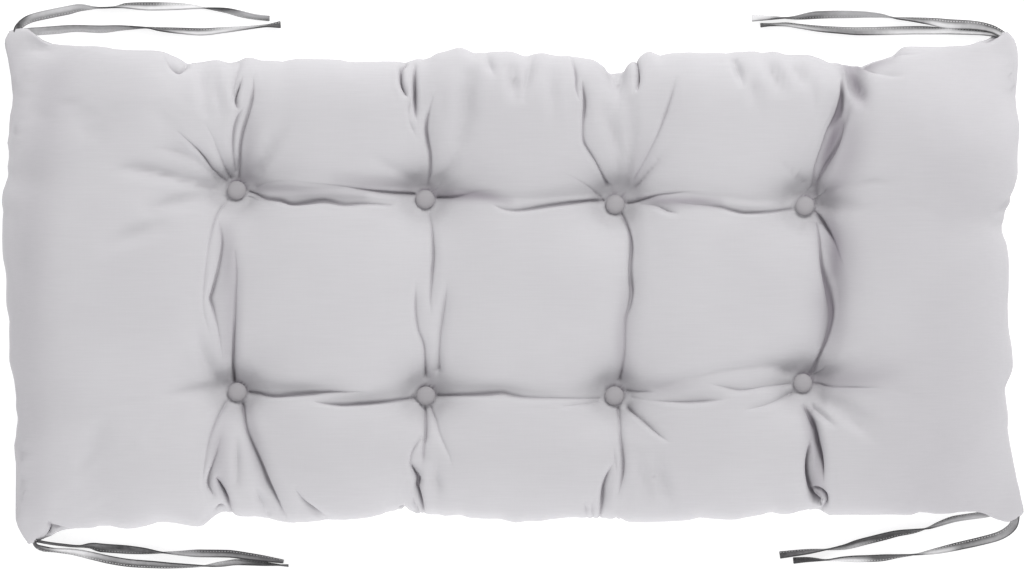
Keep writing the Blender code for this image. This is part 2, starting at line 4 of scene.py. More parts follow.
import bpy
import numpy as np
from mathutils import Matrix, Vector


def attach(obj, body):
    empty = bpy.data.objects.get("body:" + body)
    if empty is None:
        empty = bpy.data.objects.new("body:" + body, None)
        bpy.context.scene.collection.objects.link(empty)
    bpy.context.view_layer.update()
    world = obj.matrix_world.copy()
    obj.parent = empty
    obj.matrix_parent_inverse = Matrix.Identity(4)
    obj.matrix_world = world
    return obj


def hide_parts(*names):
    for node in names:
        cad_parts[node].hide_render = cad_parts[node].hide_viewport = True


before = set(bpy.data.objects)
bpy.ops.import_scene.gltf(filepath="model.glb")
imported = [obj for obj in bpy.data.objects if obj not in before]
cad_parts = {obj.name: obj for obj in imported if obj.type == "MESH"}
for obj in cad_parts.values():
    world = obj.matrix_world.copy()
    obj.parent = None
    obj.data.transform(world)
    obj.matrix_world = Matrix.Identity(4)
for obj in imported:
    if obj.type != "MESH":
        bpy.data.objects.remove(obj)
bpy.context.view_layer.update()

# Studio
# A white table top in a white room that is brightest near the horizon, a large soft lamp to the upper
# right, and a camera straight above. One millimetre of the seam's plane fills one pixel.
MM = 0.001
PICTURE_WIDTH = 1024 * MM
SENSOR = 36.0
CAMERA_HEIGHT = 10.0
SEAM_PLANE = 36.0 * MM
FLOOR_SIZE = 60.0
FLOOR_WHITE = (0.45, 0.45, 0.45, 1.0)
FLOOR_GLOW = 0.75
ROOM_WHITE = (0.99, 0.985, 1.0, 1.0)
CEILING_GLOW = 0.67
HORIZON_GLOW = 1.15
HORIZON_GLOW_RIGHT = 0.2
HORIZON_GLOW_LONG_SIDES = 0.5
HORIZON_SPREAD = 2.0
Lamp = namedtuple("Lamp", "name place size power colour")
LAMPS = [Lamp("key_lamp", (1.3, 3.3, 3.7), 2.4, 128.0, (1.0, 0.995, 0.985)),
         Lamp("near_card", (0.0, -3.4, 0.48), 0.9, 36.0, (1.0, 1.0, 1.0))]


class Wire:
    """A shader socket. Arithmetic on it adds Math nodes, and node() adds any other node to its tree."""

    def __init__(self, tree, socket=None):
        self.tree = tree
        self.socket = socket

    def node(self, kind, settings=None, sockets=None, output=0):
        added = self.tree.nodes.new(kind)
        for name, value in (settings or {}).items():
            setattr(added, name, value)
        for name, value in (sockets or {}).items():
            if isinstance(value, Wire):
                self.tree.links.new(value.socket, added.inputs[name])
            else:
                added.inputs[name].default_value = value
        return Wire(self.tree, added.outputs[output])

    def ramp(self, low, high):
        """Smooth step of this socket from 0 at low to 1 at high."""
        settings = {"interpolation_type": "SMOOTHSTEP"}
        return self.node("ShaderNodeMapRange", settings, {"Value": self, "From Min": low, "From Max": high})

    def math(self, operation, first, second=0.0):
        return self.node("ShaderNodeMath", {"operation": operation}, {0: first, 1: second})

    def __add__(self, other):
        return self.math("ADD", self, other)

    def __sub__(self, other):
        return self.math("SUBTRACT", self, other)

    def __rsub__(self, other):
        return self.math("SUBTRACT", other, self)

    def __mul__(self, other):
        return self.math("MULTIPLY", self, other)

    def __pow__(self, other):
        return self.math("POWER", self, other)

    __radd__ = __add__
    __rmul__ = __mul__


def deselect_all():
    bpy.ops.object.select_all(action="DESELECT")


def new_material(name):
    """Empty Principled material; returns it, its shader node and a wire into its tree."""
    material = bpy.data.materials.new(name)
    material.use_nodes = True
    return material, material.node_tree.nodes["Principled BSDF"], Wire(material.node_tree)


deselect_all()
bpy.ops.mesh.primitive_plane_add(size=FLOOR_SIZE, location=(0.0, 0.0, 0.0))
floor = bpy.context.object
floor.name = "table_top"
floor_paint, floor_shader, floor_tree = new_material("white_table_top")
floor_shader.inputs["Base Color"].default_value = FLOOR_WHITE
floor_shader.inputs["Roughness"].default_value = 1.0
floor_shader.inputs["Specular IOR Level"].default_value = 0.0
floor_shader.inputs["Emission Color"].default_value = (1.0, 1.0, 1.0, 1.0)
floor_shader.inputs["Emission Strength"].default_value = FLOOR_GLOW
floor.data.materials.append(floor_paint)

room = bpy.data.worlds.new("white_room")
room.use_nodes = True
room_tree = Wire(room.node_tree)
direction = room_tree.node("ShaderNodeTexCoord")
parts = room_tree.node("ShaderNodeSeparateXYZ", None, {0: direction})
to_right, to_far, upward = (Wire(room.node_tree, socket) for socket in parts.socket.node.outputs)
long_sides = to_far * to_far - to_right * to_right
glow = HORIZON_GLOW + HORIZON_GLOW_RIGHT * to_right + HORIZON_GLOW_LONG_SIDES * long_sides
strength = CEILING_GLOW + glow * (1.0 - upward.math("MAXIMUM", upward, 0.0)) ** HORIZON_SPREAD
background = room.node_tree.nodes["Background"]
background.inputs["Color"].default_value = ROOM_WHITE
room.node_tree.links.new(strength.socket, background.inputs["Strength"])
bpy.context.scene.world = room
bpy.context.scene.view_settings.view_transform = "Standard"

for row in LAMPS:
    bpy.ops.object.light_add(type="AREA", location=row.place)
    lamp = bpy.context.object
    lamp.name = row.name
    lamp.data.shape = "DISK"
    lamp.data.size = row.size
    lamp.data.energy = row.power
    lamp.data.color = row.colour
    lamp.visible_camera = False
    lamp.rotation_euler = (-Vector(row.place)).to_track_quat("-Z", "Y").to_euler()

bpy.ops.object.camera_add(location=(0.0, 0.0, SEAM_PLANE + CAMERA_HEIGHT), rotation=(0.0, 0.0, 0.0))
camera = bpy.context.object
camera.data.sensor_width = SENSOR
camera.data.lens = SENSOR * CAMERA_HEIGHT / PICTURE_WIDTH
camera.data.clip_end = 4 * CAMERA_HEIGHT
bpy.context.scene.camera = camera

# Filled cushion
# Two panels of plain-woven cotton, sewn together half way up the sides, turned out and stuffed. Threads
# through the filling draw the face down under eight buttons, and the slack cloth lies in folds between
# them. Tables give millimetres from the middle of the cushion: x to the right, y towards the far edge.

# Seats that the buttons press into the face, the small gathers round them, and painted shade round each.
SEAT_RADIUS = 8.7
SEAT_BLEND = 3.4
SEAT_HEIGHT = 44.7
PINNED_SEAT_RADIUS = 16.0
PETAL_RADIUS = 15.5
PETAL_WIDTH = 5.5
PETAL_HEIGHT = 1.0
PETAL_LEAN = 0.5
PETAL_END_DEPTH = 7.0
TUFT_REACH = 40.0
TUFT_CORE = 0.1
SHADE_ACROSS = 0.4
SHADE_ALONG = 0.9
SHADE_RING_RADIUS = 10.0
SHADE_RING_WIDTH = 1.2
RING_PAINTED_SHADE = 0.3
RING_PAINTED_SHADE_SHADED_SIDE = 0.65
PAINTED_HALO_REACH = 8.0
PAINTED_HALO_SHADE = 0.4

# Side seam.
SEAM_HEIGHT = 36.0
CORNER_SEAM_HEIGHT = 13.0
SEAM_DROOP_REACH = 130.0
SEAM_DEPTH = 1.3
SEAM_WIDTH = 1.3
SEAM_SLOPE = 0.6

# Filling that swells the cloth, and how firmly the narrow folds hold it back.
MERGE_DISTANCE = 0.00001
FILLING_PRESSURE = 4.0
SWELL_FRAMES = 20
SWELL_LIMIT = 5.0
SIDE_SLOPE = 0.35
CREASE_HOLD = 0.5
CREASE_HOLD_REACH = 6.0
CREASE_HOLD_DEPTH = 8.0

# How fine the mesh is cut at some distances from a narrow fold, and under the cushion.
CUT_ROUNDS = 4
CUT_OVERSIZE = 1.9
FOLD_DISTANCES = (1.5, 5.0, 12.0, 40.0)
EDGES_THERE = (1.05, 2.1, 4.2, 5.8)
UNDERSIDE_EDGE = 14.0
UNDERSIDE_SLOPE = -0.4
SMOOTH_ROUNDS = 6
SMOOTH_REACH = 14.0

# A fold's cross-section: a trough, with a slit at its bottom where it is pinched, between low lips.
CURVE_STEPS = 4
NARROW_REACH = 4.0
SHARP_SEARCH = 6.0
PULL_SEARCH = 5.0
GATHER_BAND = 4.5
ON_THE_LINE = 0.01
GATHER_POWER = 2.0
GATHER_FULL_DEPTH = 5.0
LINE_ROUNDING = 0.4
TROUGH_ROUNDNESS = 1.35
PINCH_SHARE = 0.62
SOFT_SHARPNESS = 1.45
SHARPNESS_SPAN = 0.35
PINCH_FULL_DEPTH = 10.5
PINCH_MOST = 1.2
PINCH_WIDTH = 0.6
PINCH_GAIN = 0.8
SLIT_POWER = 1.2
LIP_SHARE = 0.05
LIP_DISTANCE = 2.2
NORM_POWER = 3.0
FACE_SLOPE = 0.2
FACE_FADE = 0.6

# Drawn-in rim.
RIM_STEP = 2.5
RIM_REACH = 20.0
RIM_MOST = 12.0
RIM_FADE = 3.0

FoldPoint = namedtuple("FoldPoint", "x y depth")
Fold = namedtuple("Fold", "name left right sharpness route")
Spot = namedtuple("Spot", "name x y")

BUTTONS = [Spot(*row) for row in (
    ("button_far_1", -275.0, 94.5), ("button_far_2", -86.7, 85.5),
    ("button_far_3", 103.0, 80.5), ("button_far_4", 292.5, 79.0),
    ("button_near_1", -274.5, -107.0), ("button_near_2", -86.0, -110.7),
    ("button_near_3", 102.3, -110.7), ("button_near_4", 290.4, -98.0))]

CORNER_TIPS = [Spot(*row) for row in (
    ("far_left", -502.0, 253.0), ("far_right", 494.0, 255.5),
    ("near_left", -481.0, -260.5), ("near_right", 496.0, -239.0))]

# Where the drawn-in edge runs on each side, seen from above: out at its bulges and in at its puckers.
FAR_RIM = (
    (-501, 257), (-492, 258), (-485, 258.5), (-482, 256), (-477, 250.5), (-469, 244), (-462, 242),
    (-455, 241), (-432, 239.5), (-412, 239), (-404, 238), (-400, 236.5), (-382, 235), (-352, 235),
    (-345, 233.5), (-337, 229), (-328, 225), (-325, 220.5), (-322, 221.5), (-317, 223), (-312, 224),
    (-297, 225), (-293, 225.5), (-287, 223), (-280, 223), (-274, 225), (-269, 227), (-264, 228),
    (-257, 227.5), (-252, 225.5), (-234, 225), (-230, 223.5), (-220, 226.5), (-212, 227), (-172, 226),
    (-162, 223.5), (-117, 224), (-107, 223), (-102, 224), (-99, 226), (-94, 227), (-84, 227.5), (-80, 230),
    (-75, 233), (-62, 235), (-57, 237), (-53, 238), (-49, 237.5), (-44, 235), (-39, 232), (-32, 233),
    (0, 234), (5, 232), (15, 228), (18, 231), (33, 232.5), (38, 230.5), (48, 229), (58, 229.5), (68, 227.5),
    (78, 227), (85, 225), (94, 219), (98, 215), (104, 212), (107, 213.5), (110, 218.5), (115, 222),
    (120, 224.5), (125, 228), (130, 231), (133, 233.5), (138, 234), (141, 233.5), (145, 230), (148, 229),
    (151, 230.5), (158, 232), (178, 233), (188, 232), (208, 232.5), (214, 231.5), (220, 233), (243, 234),
    (250, 232), (260, 234), (266, 233), (272, 230.5), (296, 230.5), (308, 228), (312, 226), (316, 223),
    (330, 222.5), (336, 221), (345, 218.5), (353, 222), (368, 227), (378, 229.5), (381, 231.5), (385, 234.5),
    (389, 238), (393, 239), (428, 239), (448, 240.5), (458, 241), (461, 242.5), (468, 245.5), (476, 247.5),
    (481, 250), (486, 252.5), (491, 255.5), (495, 255), (499, 252), (502, 247))
NEAR_RIM = (
    (-490, -254), (-486, -257.5), (-482, -260.5), (-479, -261.5), (-475, -259), (-471, -256), (-462, -252.5),
    (-446, -245), (-432, -244), (-420, -243.5), (-408, -239.5), (-400, -241.5), (-392, -243.5), (-382, -244),
    (-372, -242.5), (-362, -240), (-355, -237.5), (-347, -237), (-337, -238), (-327, -240), (-317, -241.5),
    (-309, -241.5), (-304, -237.5), (-297, -231.5), (-292, -228.5), (-288, -226.5), (-284, -227),
    (-279, -230), (-272, -232), (-252, -232), (-244, -234), (-232, -237), (-224, -238), (-212, -238),
    (-194, -236.5), (-186, -235), (-162, -235), (-142, -233), (-132, -230), (-124, -228), (-112, -226),
    (-108, -223.5), (-100, -227), (-94, -229), (-72, -230), (-65, -231.5), (-51, -230), (-44, -233),
    (-32, -234), (-12, -234), (-4, -236), (4, -238), (15, -236), (28, -236.5), (38, -234.5), (58, -232.5),
    (88, -233.5), (106, -234.5), (110, -236), (118, -237.5), (138, -237.5), (168, -236), (180, -235),
    (185, -232.5), (208, -234.5), (223, -235), (236, -232.5), (250, -230), (256, -227.5), (260, -227),
    (264, -228.5), (273, -230), (280, -229), (286, -227), (293, -226), (303, -224.5), (307, -226),
    (313, -229), (318, -231), (328, -230.5), (368, -230), (400, -230.5), (405, -228.5), (410, -227),
    (414, -227.5), (418, -230), (428, -229.5), (443, -229), (448, -228), (468, -227), (473, -230),
    (478, -233), (485, -236), (491, -238), (495, -239), (498, -236.5))
LEFT_RIM = (
    (-486, -261), (-489.5, -257.5), (-491.5, -254), (-493.5, -250), (-495, -246), (-496.5, -242),
    (-498, -235), (-498, -225), (-497, -215), (-497, -205), (-496.5, -180), (-498, -160), (-496.5, -152),
    (-496, -143), (-494.5, -135), (-495, -130), (-497, -123), (-496.5, -112), (-497.5, -105), (-498.5, -95),
    (-501.5, -83), (-503, -75), (-502.5, -60), (-503, -47), (-502.5, -35), (-505.5, -22), (-506, -15),
    (-505.5, 5), (-506.5, 15), (-508.5, 23), (-509.5, 30), (-510, 45), (-509.5, 65), (-509, 75),
    (-510.5, 80), (-510.5, 88), (-509.5, 95), (-507, 102), (-504, 110), (-505, 119), (-503.5, 125),
    (-503.5, 135), (-505, 140), (-503.5, 148), (-503, 155), (-502, 163), (-503, 168), (-502, 172),
    (-500.5, 177), (-500, 193), (-501, 200), (-503, 215), (-505.5, 225), (-508, 235), (-509.5, 242),
    (-509, 247), (-506, 253))
RIGHT_RIM = (
    (510, -236), (512.5, -232), (514, -228), (513.5, -223), (512, -218), (510, -210), (508, -200),
    (506, -195), (505, -187), (502.5, -177), (501, -168), (499, -160), (496, -143), (497, -135),
    (496.5, -127), (494, -110), (494, -102), (498.5, -92), (501, -85), (501.5, -77), (500, -60), (497, -45),
    (496, -20), (497, -5), (497.5, 23), (496, 35), (495, 43), (492, 48), (490.5, 55), (490.5, 62), (493, 66),
    (494, 74), (498, 81), (500.5, 88), (502, 95), (506, 110), (505.5, 130), (507, 145), (508, 160),
    (506.5, 168), (505, 175), (504, 190), (506.5, 205), (507, 225), (506.5, 238), (506.5, 243), (505.5, 247),
    (504, 250), (502, 253), (498, 256))

# Left and right are a fold's slopes to each side of its line, seen along the row: how far they spread.
# Sharpness is 1 for a pinched line and more for a rounded trough. A negative depth is a raised lip.
FOLDS = [Fold(*row[:4], [FoldPoint(*point) for point in row[4]]) for row in (
    ("far_row_1_low", 8, 2.2, 1.0, ((-263, 93, 6.9), (-247, 87.5, 7.8), (-232, 85, 8.6), (-220, 82, 9.4),
        (-207, 82.5, 9.4), (-187, 84, 7.8), (-167, 81, 6.9), (-144, 81.5, 5.2), (-120, 80, 3.4))),
    ("far_row_1_high", 8, 2.5, 1.0, ((-256, 98, 3.7), (-242, 102, 2.3), (-222, 103.5, 1.8), (-202, 101, 2.3),
        (-167, 97, 4.5), (-152, 94.5, 6.8), (-137, 92.5, 8.3), (-117, 91, 9), (-97, 90.5, 9))),
    ("far_row_1_dash", 3, 3, 1.2, ((-263, 88, 3.2), (-250, 84, 2.4), (-240, 80.5, 0.8))),
    ("far_row_2_start", 9, 4, 1.0, ((-75, 87, 8), (-57, 88, 6.4), (-46, 90, 4.8), (-32, 93, 2.4),
        (-12, 94, 0.8))),
    ("far_row_2", 8, 2.2, 1.0, ((-20, 81, 1.1), (-11, 76.5, 3.7), (0, 74.5, 5.1), (14, 75.5, 6.6),
        (38, 79.5, 8.1), (58, 82, 8.8), (78, 83.5, 8.8), (92, 84.5, 8.1))),
    ("far_row_3_high", 8, 2.5, 1.0, ((115, 81.5, 7.2), (133, 86, 7.2), (145, 89, 6.4), (159, 90.5, 5.6),
        (174, 92, 3.2), (188, 91.5, 0.8))),
    ("far_row_3_mid", 4, 3, 1.2, ((128, 81, 2), (143, 79, 4), (154, 74.5, 6), (164, 71.5, 2))),
    ("far_row_3_low", 8, 2.4, 1.0, ((164, 82, 0.8), (178, 80.5, 2.3), (194, 79, 3.1), (210, 77, 5.4),
        (220, 74.5, 6.9), (234, 72.5, 7.7), (258, 73.5, 6.9), (280, 76, 6.2))),
    ("near_row_1", 8, 2.5, 1.0, ((-263, -107, 7.5), (-250, -108.5, 8.2), (-237, -109.5, 9), (-212, -108, 9),
        (-184, -107, 6.8), (-162, -107, 3), (-147, -107, 0.8))),
    ("near_row_1_low", 7, 2.2, 1.0, ((-196, -116.5, 2.4), (-182, -118, 5.6), (-167, -118.8, 8),
        (-152, -118, 8.8), (-132, -116.5, 8.8), (-112, -114.5, 7.2), (-97, -113, 6.4))),
    ("near_row_2", 8, 3, 1.0, ((-75, -110, 7.8), (-47, -109, 7.8), (-24, -108, 7.8), (-10, -107.5, 6.5),
        (3, -110, 5.9), (18, -112, 4.5), (56, -113, 3.9), (88, -113.5, 3.9))),
    ("near_row_2_low", 4, 3, 1.2, ((51, -121, 1.6), (68, -119, 3.2), (88, -116, 4))),
    ("near_row_3_start", 6, 4, 1.1, ((115, -106, 5.6), (128, -106.5, 4.2), (143, -107, 1.4))),
    ("near_row_3_arc", 7, 5, 1.4, ((143, -104, 2.2), (168, -96, 3.3), (188, -91, 3.3), (210, -86, 3.9),
        (238, -83, 3.9), (263, -83, 4.4), (278, -87, 6.6))),
    ("near_row_3_lens", 5, 2.5, 1.0, ((120, -112.5, 1.8), (136, -115, 1.8), (153, -116, 3.6),
        (173, -116.5, 4.8), (193, -115.7, 4.2), (210, -114.5, 1.2))),
    ("near_row_3_mid", 5, 3, 1.2, ((193, -97, 0.8), (210, -101.5, 3.2), (228, -105, 4), (253, -101.5, 3.2),
        (278, -99, 4.8))),
    ("near_row_3_low", 4, 3, 1.2, ((233, -124, 1), (246, -121.5, 3), (260, -116.5, 4), (280, -107, 6))),
    ("near_row_end", 10, 4, 1.1, ((300, -98, 8), (318, -101, 5), (343, -102, 4), (368, -102.5, 1))),
    ("near_row_end_wedge", 10, 9, 1.6, ((302, -92, 8), (326, -85, 6), (352, -75, 4), (380, -66, 1))),
    ("far_row_end_wedge", 16, 8, 1.4, ((302, 79, 12), (320, 77, 8), (346, 76, 2))),
    ("far_1_main", 9, 2.5, 1.0, ((-258, 207, 1.6), (-258, 195, 4), (-260, 183, 6.4), (-263.5, 170, 6.4),
        (-268, 155, 7.2), (-271, 140, 7.2), (-272, 123, 7.2), (-273, 105, 4.8))),
    ("far_1_companion", 2.5, 4, 1.1, ((-269, 175, 2), (-273, 167, 5), (-276, 157, 6), (-277.5, 145, 6),
        (-277.5, 130, 5), (-276, 113, 4))),
    ("far_1_short", 2, 2.5, 1.0, ((-269, 206, 2), (-272.5, 195, 8), (-274.5, 185, 9), (-273.5, 178, 6),
        (-272, 174, 1))),
    ("far_1_short_left", 3, 3, 1.3, ((-272, 219, 2), (-275.5, 207, 4), (-277.5, 193, 4), (-277.5, 181, 2))),
    ("far_1_groove", 7, 5, 1.6, ((-310, 221, 3.2), (-307, 200, 6.4), (-304, 173, 3.2))),
    ("far_edge_flap", 6, 2.5, 1.15, ((-347, 226, 1), (-342, 220, 4), (-336, 215, 7), (-331, 213.5, 8),
        (-325.5, 219, 6))),
    ("far_1_fan_high", 5, 4, 1.2, ((-306, 161, 0.7), (-299, 149, 2.1), (-292, 131, 3.5), (-286, 117, 4.9),
        (-281, 107, 7))),
    ("far_1_fan_mid", 4, 4, 1.1, ((-332, 152, 2), (-320, 141.5, 4), (-312, 134, 6), (-304, 124.5, 8),
        (-297, 115, 8), (-285, 104, 7))),
    ("far_1_fan_soft", 6, 6, 1.4, ((-364, 138, 2), (-337, 134, 4), (-316, 125, 5), (-302, 114, 5.5),
        (-288, 101, 6))),
    ("far_1_fan_low", 8, 6, 1.3, ((-394, 118, 2), (-377, 116, 6), (-360, 113.5, 7.5), (-337, 108, 8.5),
        (-314, 101.5, 8), (-288, 96, 7))),
    ("far_1_low_left", 8, 7, 1.6, ((-362, 75, 3), (-340, 81, 6), (-322, 85, 6), (-288, 91.5, 5))),
    ("far_1_low_left_soft", 10, 10, 1.8, ((-400, 43, 2.4), (-377, 51, 6.1), (-352, 60, 3.5))),
    ("far_2_comma", 2, 3, 1.0, ((-107, 219, 6), (-110.5, 215, 8), (-110.5, 209, 9), (-109.5, 200, 10),
        (-106, 191, 6), (-104, 187, 1))),
    ("far_2_slit", 2.5, 2.5, 1.0, ((-97, 215, 4), (-97.2, 205, 9), (-96.7, 190, 11), (-96, 175, 8),
        (-95.5, 165, 2))),
    ("far_2_faint_1", 2, 2, 1.2, ((-100, 187, 1), (-102.5, 177, 3), (-104, 167, 1))),
    ("far_2_faint_2", 3, 2, 1.2, ((-103, 165, 1), (-99.5, 157, 3), (-96, 148, 1))),
    ("far_2_main", 7, 2.5, 1.0, ((-79, 187, 1.7), (-82, 177, 3.4), (-84.5, 167, 6), (-85.5, 155, 8.5),
        (-84, 142, 8.5), (-82, 130, 7.6), (-82, 115, 7.6), (-84, 99, 6.1))),
    ("far_2_soft", 8, 7, 1.7, ((-43, 209, 4.8), (-46, 185, 8.3), (-47, 167, 7.2), (-54, 143, 3.5))),
    ("far_2_edge_soft", 5, 5, 1.5, ((0, 215, 4.8), (1.5, 202, 7.2), (2, 188, 2.4))),
    ("far_3_band", 5, 3, 1.1, ((60, 225, 3), (64, 211, 6), (64.5, 197, 5), (66, 188, 3), (69, 181, 1))),
    ("far_3_main", 5, 3, 1.0, ((70, 203, 2.5), (72, 193, 6.8), (73, 182, 8.5), (72, 170, 7.6),
        (71, 160, 5.1), (71, 148, 5.1), (73, 140, 6), (79, 130, 6), (85, 120, 6), (91, 108, 6.8),
        (96, 98, 9.3))),
    ("far_3_mid", 6, 5, 1.4, ((91, 172, 3), (98, 158, 5), (104, 144, 6), (107, 128, 6), (107, 113, 6),
        (106, 97, 6))),
    ("far_3_mid_right", 6, 6, 1.5, ((117, 181, 2), (119, 155, 5), (116, 125, 6), (112, 99, 6))),
    ("far_3_edge", 3, 3, 1.0, ((122.5, 228, 5), (124.5, 217, 7), (125, 206, 9), (124.5, 195, 4))),
    ("far_3_long", 4, 2.5, 1.0, ((163, 205, 1.6), (159, 190, 4), (155, 177, 4.8), (150.5, 164, 4.8),
        (145, 150, 4), (139, 138, 3.2), (131, 122, 3.2), (122, 105, 4.8))),
    ("far_3_right", 6, 5, 1.2, ((155, 138, 1.4), (147, 126, 4.2), (138, 115, 5.6), (128, 104, 7),
        (118, 94, 8.4))),
    ("far_3_shoulder", 5, 4, 1.1, ((48, 113, 0.6), (63, 106, 2.4), (76, 98, 4.2), (90, 88, 6.6))),
    ("far_3_notch", 6, 6, 1.4, ((104, 211, 12.8), (105, 201, 9.6), (106, 185, 3.2))),
    ("far_4_main", 6, 3, 1.0, ((329, 205, 4), (330, 193, 12), (328.5, 181, 14), (326, 171, 13),
        (322, 161, 11), (317.5, 152, 8), (313, 139, 8), (307, 125, 8), (302, 111, 7), (299, 95, 7))),
    ("far_4_lens", 9, 3, 1.0, ((328, 167, 3), (327, 157, 7), (324, 144, 10), (318, 130, 11), (312, 118, 11),
        (306, 105, 9), (301, 90, 8))),
    ("far_4_recess", 9, 7, 1.5, ((336, 215, 4), (339.5, 207, 10), (341.5, 197, 13), (345.5, 189, 11),
        (350, 181, 4))),
    ("far_4_lip", 3, 3, 1.3, ((318, 224, -2), (326, 218, -4), (331.5, 210, -5), (334, 199, -5),
        (335.5, 188, -3))),
    ("far_4_shade", 16, 12, 1.8, ((343, 165, 3), (338, 135, 6), (333, 105, 6), (328, 85, 5))),
    ("far_4_notch", 8, 2.5, 1.2, ((344, 222, 5), (349, 217, 6), (357, 213.5, 5), (367, 211, 3),
        (378, 209, 3), (390, 208.5, 1))),
    ("far_edge_soft_1", 4, 4, 1.5, ((222, 223, 4.5), (226, 213, 6.7), (229, 201, 2.2))),
    ("far_edge_soft_2", 5, 5, 1.5, ((256, 225, 4.8), (262, 211, 8.3), (270, 193, 3.5))),
    ("far_edge_soft_3", 5, 5, 1.5, ((280, 225, 2.4), (287, 211, 6.1), (295, 197, 2.4))),
    ("column_1_line", 2, 2.5, 1.1, ((-284, 86, 3), (-291, 75, 3.5), (-296, 64, 3.5), (-300, 49, 3),
        (-303, 33, 2.5), (-305.5, 13, 2.5), (-307, -5, 2.5), (-307.5, -20, 2), (-305.5, -33, 2),
        (-302, -46, 1))),
    ("column_1_left", 6, 3, 1.1, ((-291, 63, 2), (-288.5, 47, 5), (-289, 35, 6), (-291.5, 20, 6),
        (-295, 5, 7), (-298, -7, 8), (-299.5, -14, 8), (-297, -24, 6), (-294, -37, 4), (-291, -53, 3),
        (-289, -71, 1))),
    ("column_1_right", 4, 4, 1.1, ((-276, 33, 2), (-274.5, 13, 3.5), (-275.5, -10, 4), (-276, -30, 5),
        (-277, -50, 7), (-277.5, -70, 8), (-277.5, -90, 9), (-277, -97, 10))),
    ("column_1_low_left", 6, 6, 1.4, ((-313, -50, 2), (-307.5, -65, 5), (-301, -81, 6), (-294, -92, 6),
        (-284, -102, 6))),
    ("column_2", 4, 3, 1.0, ((-83, 71, 3), (-80.5, 57, 4.5), (-79, 42, 6), (-78.5, 28, 6.4), (-79.5, 13, 6),
        (-80.5, -1, 4.5), (-81.5, -15, 3), (-81, -27, 0.8))),
    ("column_2_left", 4, 3, 1.1, ((-96, 3, 0.8), (-96, -13, 3.8), (-95.5, -29, 4.5), (-93, -45, 4.5),
        (-88, -59, 5.2), (-86.5, -75, 5.2), (-86, -91, 7.5))),
    ("column_2_right", 4, 4, 1.2, ((-65, 1, 1), (-67, -15, 4), (-69.5, -32, 5), (-71.5, -47, 5),
        (-73, -65, 5), (-74, -85, 7))),
    ("column_3", 8, 3.5, 1.0, ((109, 73, 6.4), (114, 60, 8), (117.5, 47, 8.8), (118.5, 33, 8.8),
        (118, 17, 8), (118.5, 3, 8.8), (119, -7, 8), (117, -21, 6.4), (113.5, -33, 4.8), (112.5, -49, 4),
        (112, -65, 4), (110, -80, 4.8), (107.5, -95, 7.2))),
    ("column_4_right", 6, 3, 1.0, ((302, 74, 9), (308, 65, 11), (314, 55, 11), (319, 44, 8), (323, 33, 5),
        (327, 21, 1))),
    ("column_4_left", 9, 3, 1.0, ((303, 63, 4), (306, 49, 7), (308, 35, 9), (310, 21, 11), (313.5, 5, 13),
        (316, -10, 13), (317, -25, 13), (315.5, -40, 12), (312, -55, 11), (307, -69, 10), (301, -83, 8),
        (296, -90, 8))),
    ("column_4_shade", 16, 14, 1.8, ((330, 40, 3), (338, 5, 5), (336, -35, 4), (326, -65, 2))),
    ("near_1_left_line", 2.5, 2.5, 1.1, ((-285, -117, 4), (-292, -130, 4.5), (-298, -144, 4),
        (-302, -157, 3.5), (-305, -172, 3), (-307, -187, 3), (-306.5, -201, 2), (-304, -213, 1))),
    ("near_1_left", 3, 4, 1.1, ((-290, -151, 1.5), (-293.5, -165, 4), (-298, -179, 6), (-301, -190, 8),
        (-301.5, -200, 8), (-298, -208, 4))),
    ("near_1_edge", 3, 3, 1.0, ((-294, -192, 4), (-290.5, -199, 10), (-287, -206, 12), (-284, -214, 11),
        (-282, -222, 8), (-279, -230, 3))),
    ("near_1_hook", 2.5, 2.5, 1.1, ((-295, -225, 3), (-290.5, -222, 8), (-287, -224, 5))),
    ("near_1_main", 5, 3.5, 1.0, ((-269, -118, 8), (-267.5, -131, 7.2), (-264.5, -144, 7.2), (-260, -156, 8),
        (-254.5, -169, 8.9), (-249, -183, 9.7), (-243.5, -197, 9.7), (-237.5, -209, 8), (-231, -221, 4.8),
        (-226, -230, 2.4))),
    ("near_1_faint", 4, 4, 1.5, ((-274.5, -155, 1.6), (-274, -173, 4.8), (-274, -195, 2.4))),
    ("near_1_soft", 4, 4, 1.5, ((-257, -203, 1.6), (-251, -214, 4.8), (-244, -227, 3.2))),
    ("near_edge_wedge", 4, 5, 1.2, ((-216, -204, 2.1), (-207, -216, 5.6), (-197, -225, 7),
        (-187, -231, 4.2))),
    ("near_left_corner", 2.5, 6, 1.0, ((-465, -237, 2), (-462, -242, 7), (-464, -249, 8), (-468, -256, 6))),
    ("near_left_flap", 3, 5, 1.1, ((-464, -239, 4), (-456, -242.5, 6), (-446, -244.5, 3))),
    ("far_right_ear", 2.5, 3, 1.0, ((472, 243.5, 3), (480, 246, 6), (487, 250.5, 5))),
    ("far_right_tuck", 2.5, 3, 1.1, ((381, 231.5, 3), (392, 231, 4), (408, 230.5, 1))),
    ("far_left_ear", 5, 7, 1.5, ((-487, 232, 1.6), (-480, 240, 6.4), (-470, 239, 6.4), (-455, 236.5, 1.6))),
    ("near_2_main", 3, 3, 1.0, ((-86.5, -121, 6.8), (-86, -133, 6), (-86, -145, 6.8), (-86.5, -153, 6.8),
        (-88, -161, 4.5), (-88.5, -171, 3.8), (-89, -177, 0.8))),
    ("near_2_loop", 2.5, 2.5, 1.1, ((-91, -154, 3), (-96, -161, 4), (-100, -169, 4), (-101, -177, 4),
        (-99, -182, 5))),
    ("near_2_low", 3, 3, 1.0, ((-99.5, -178, 4), (-96.5, -185, 9), (-93.5, -193, 11), (-94.5, -201, 11),
        (-92.5, -210, 11), (-89.5, -220, 8), (-88, -228, 3))),
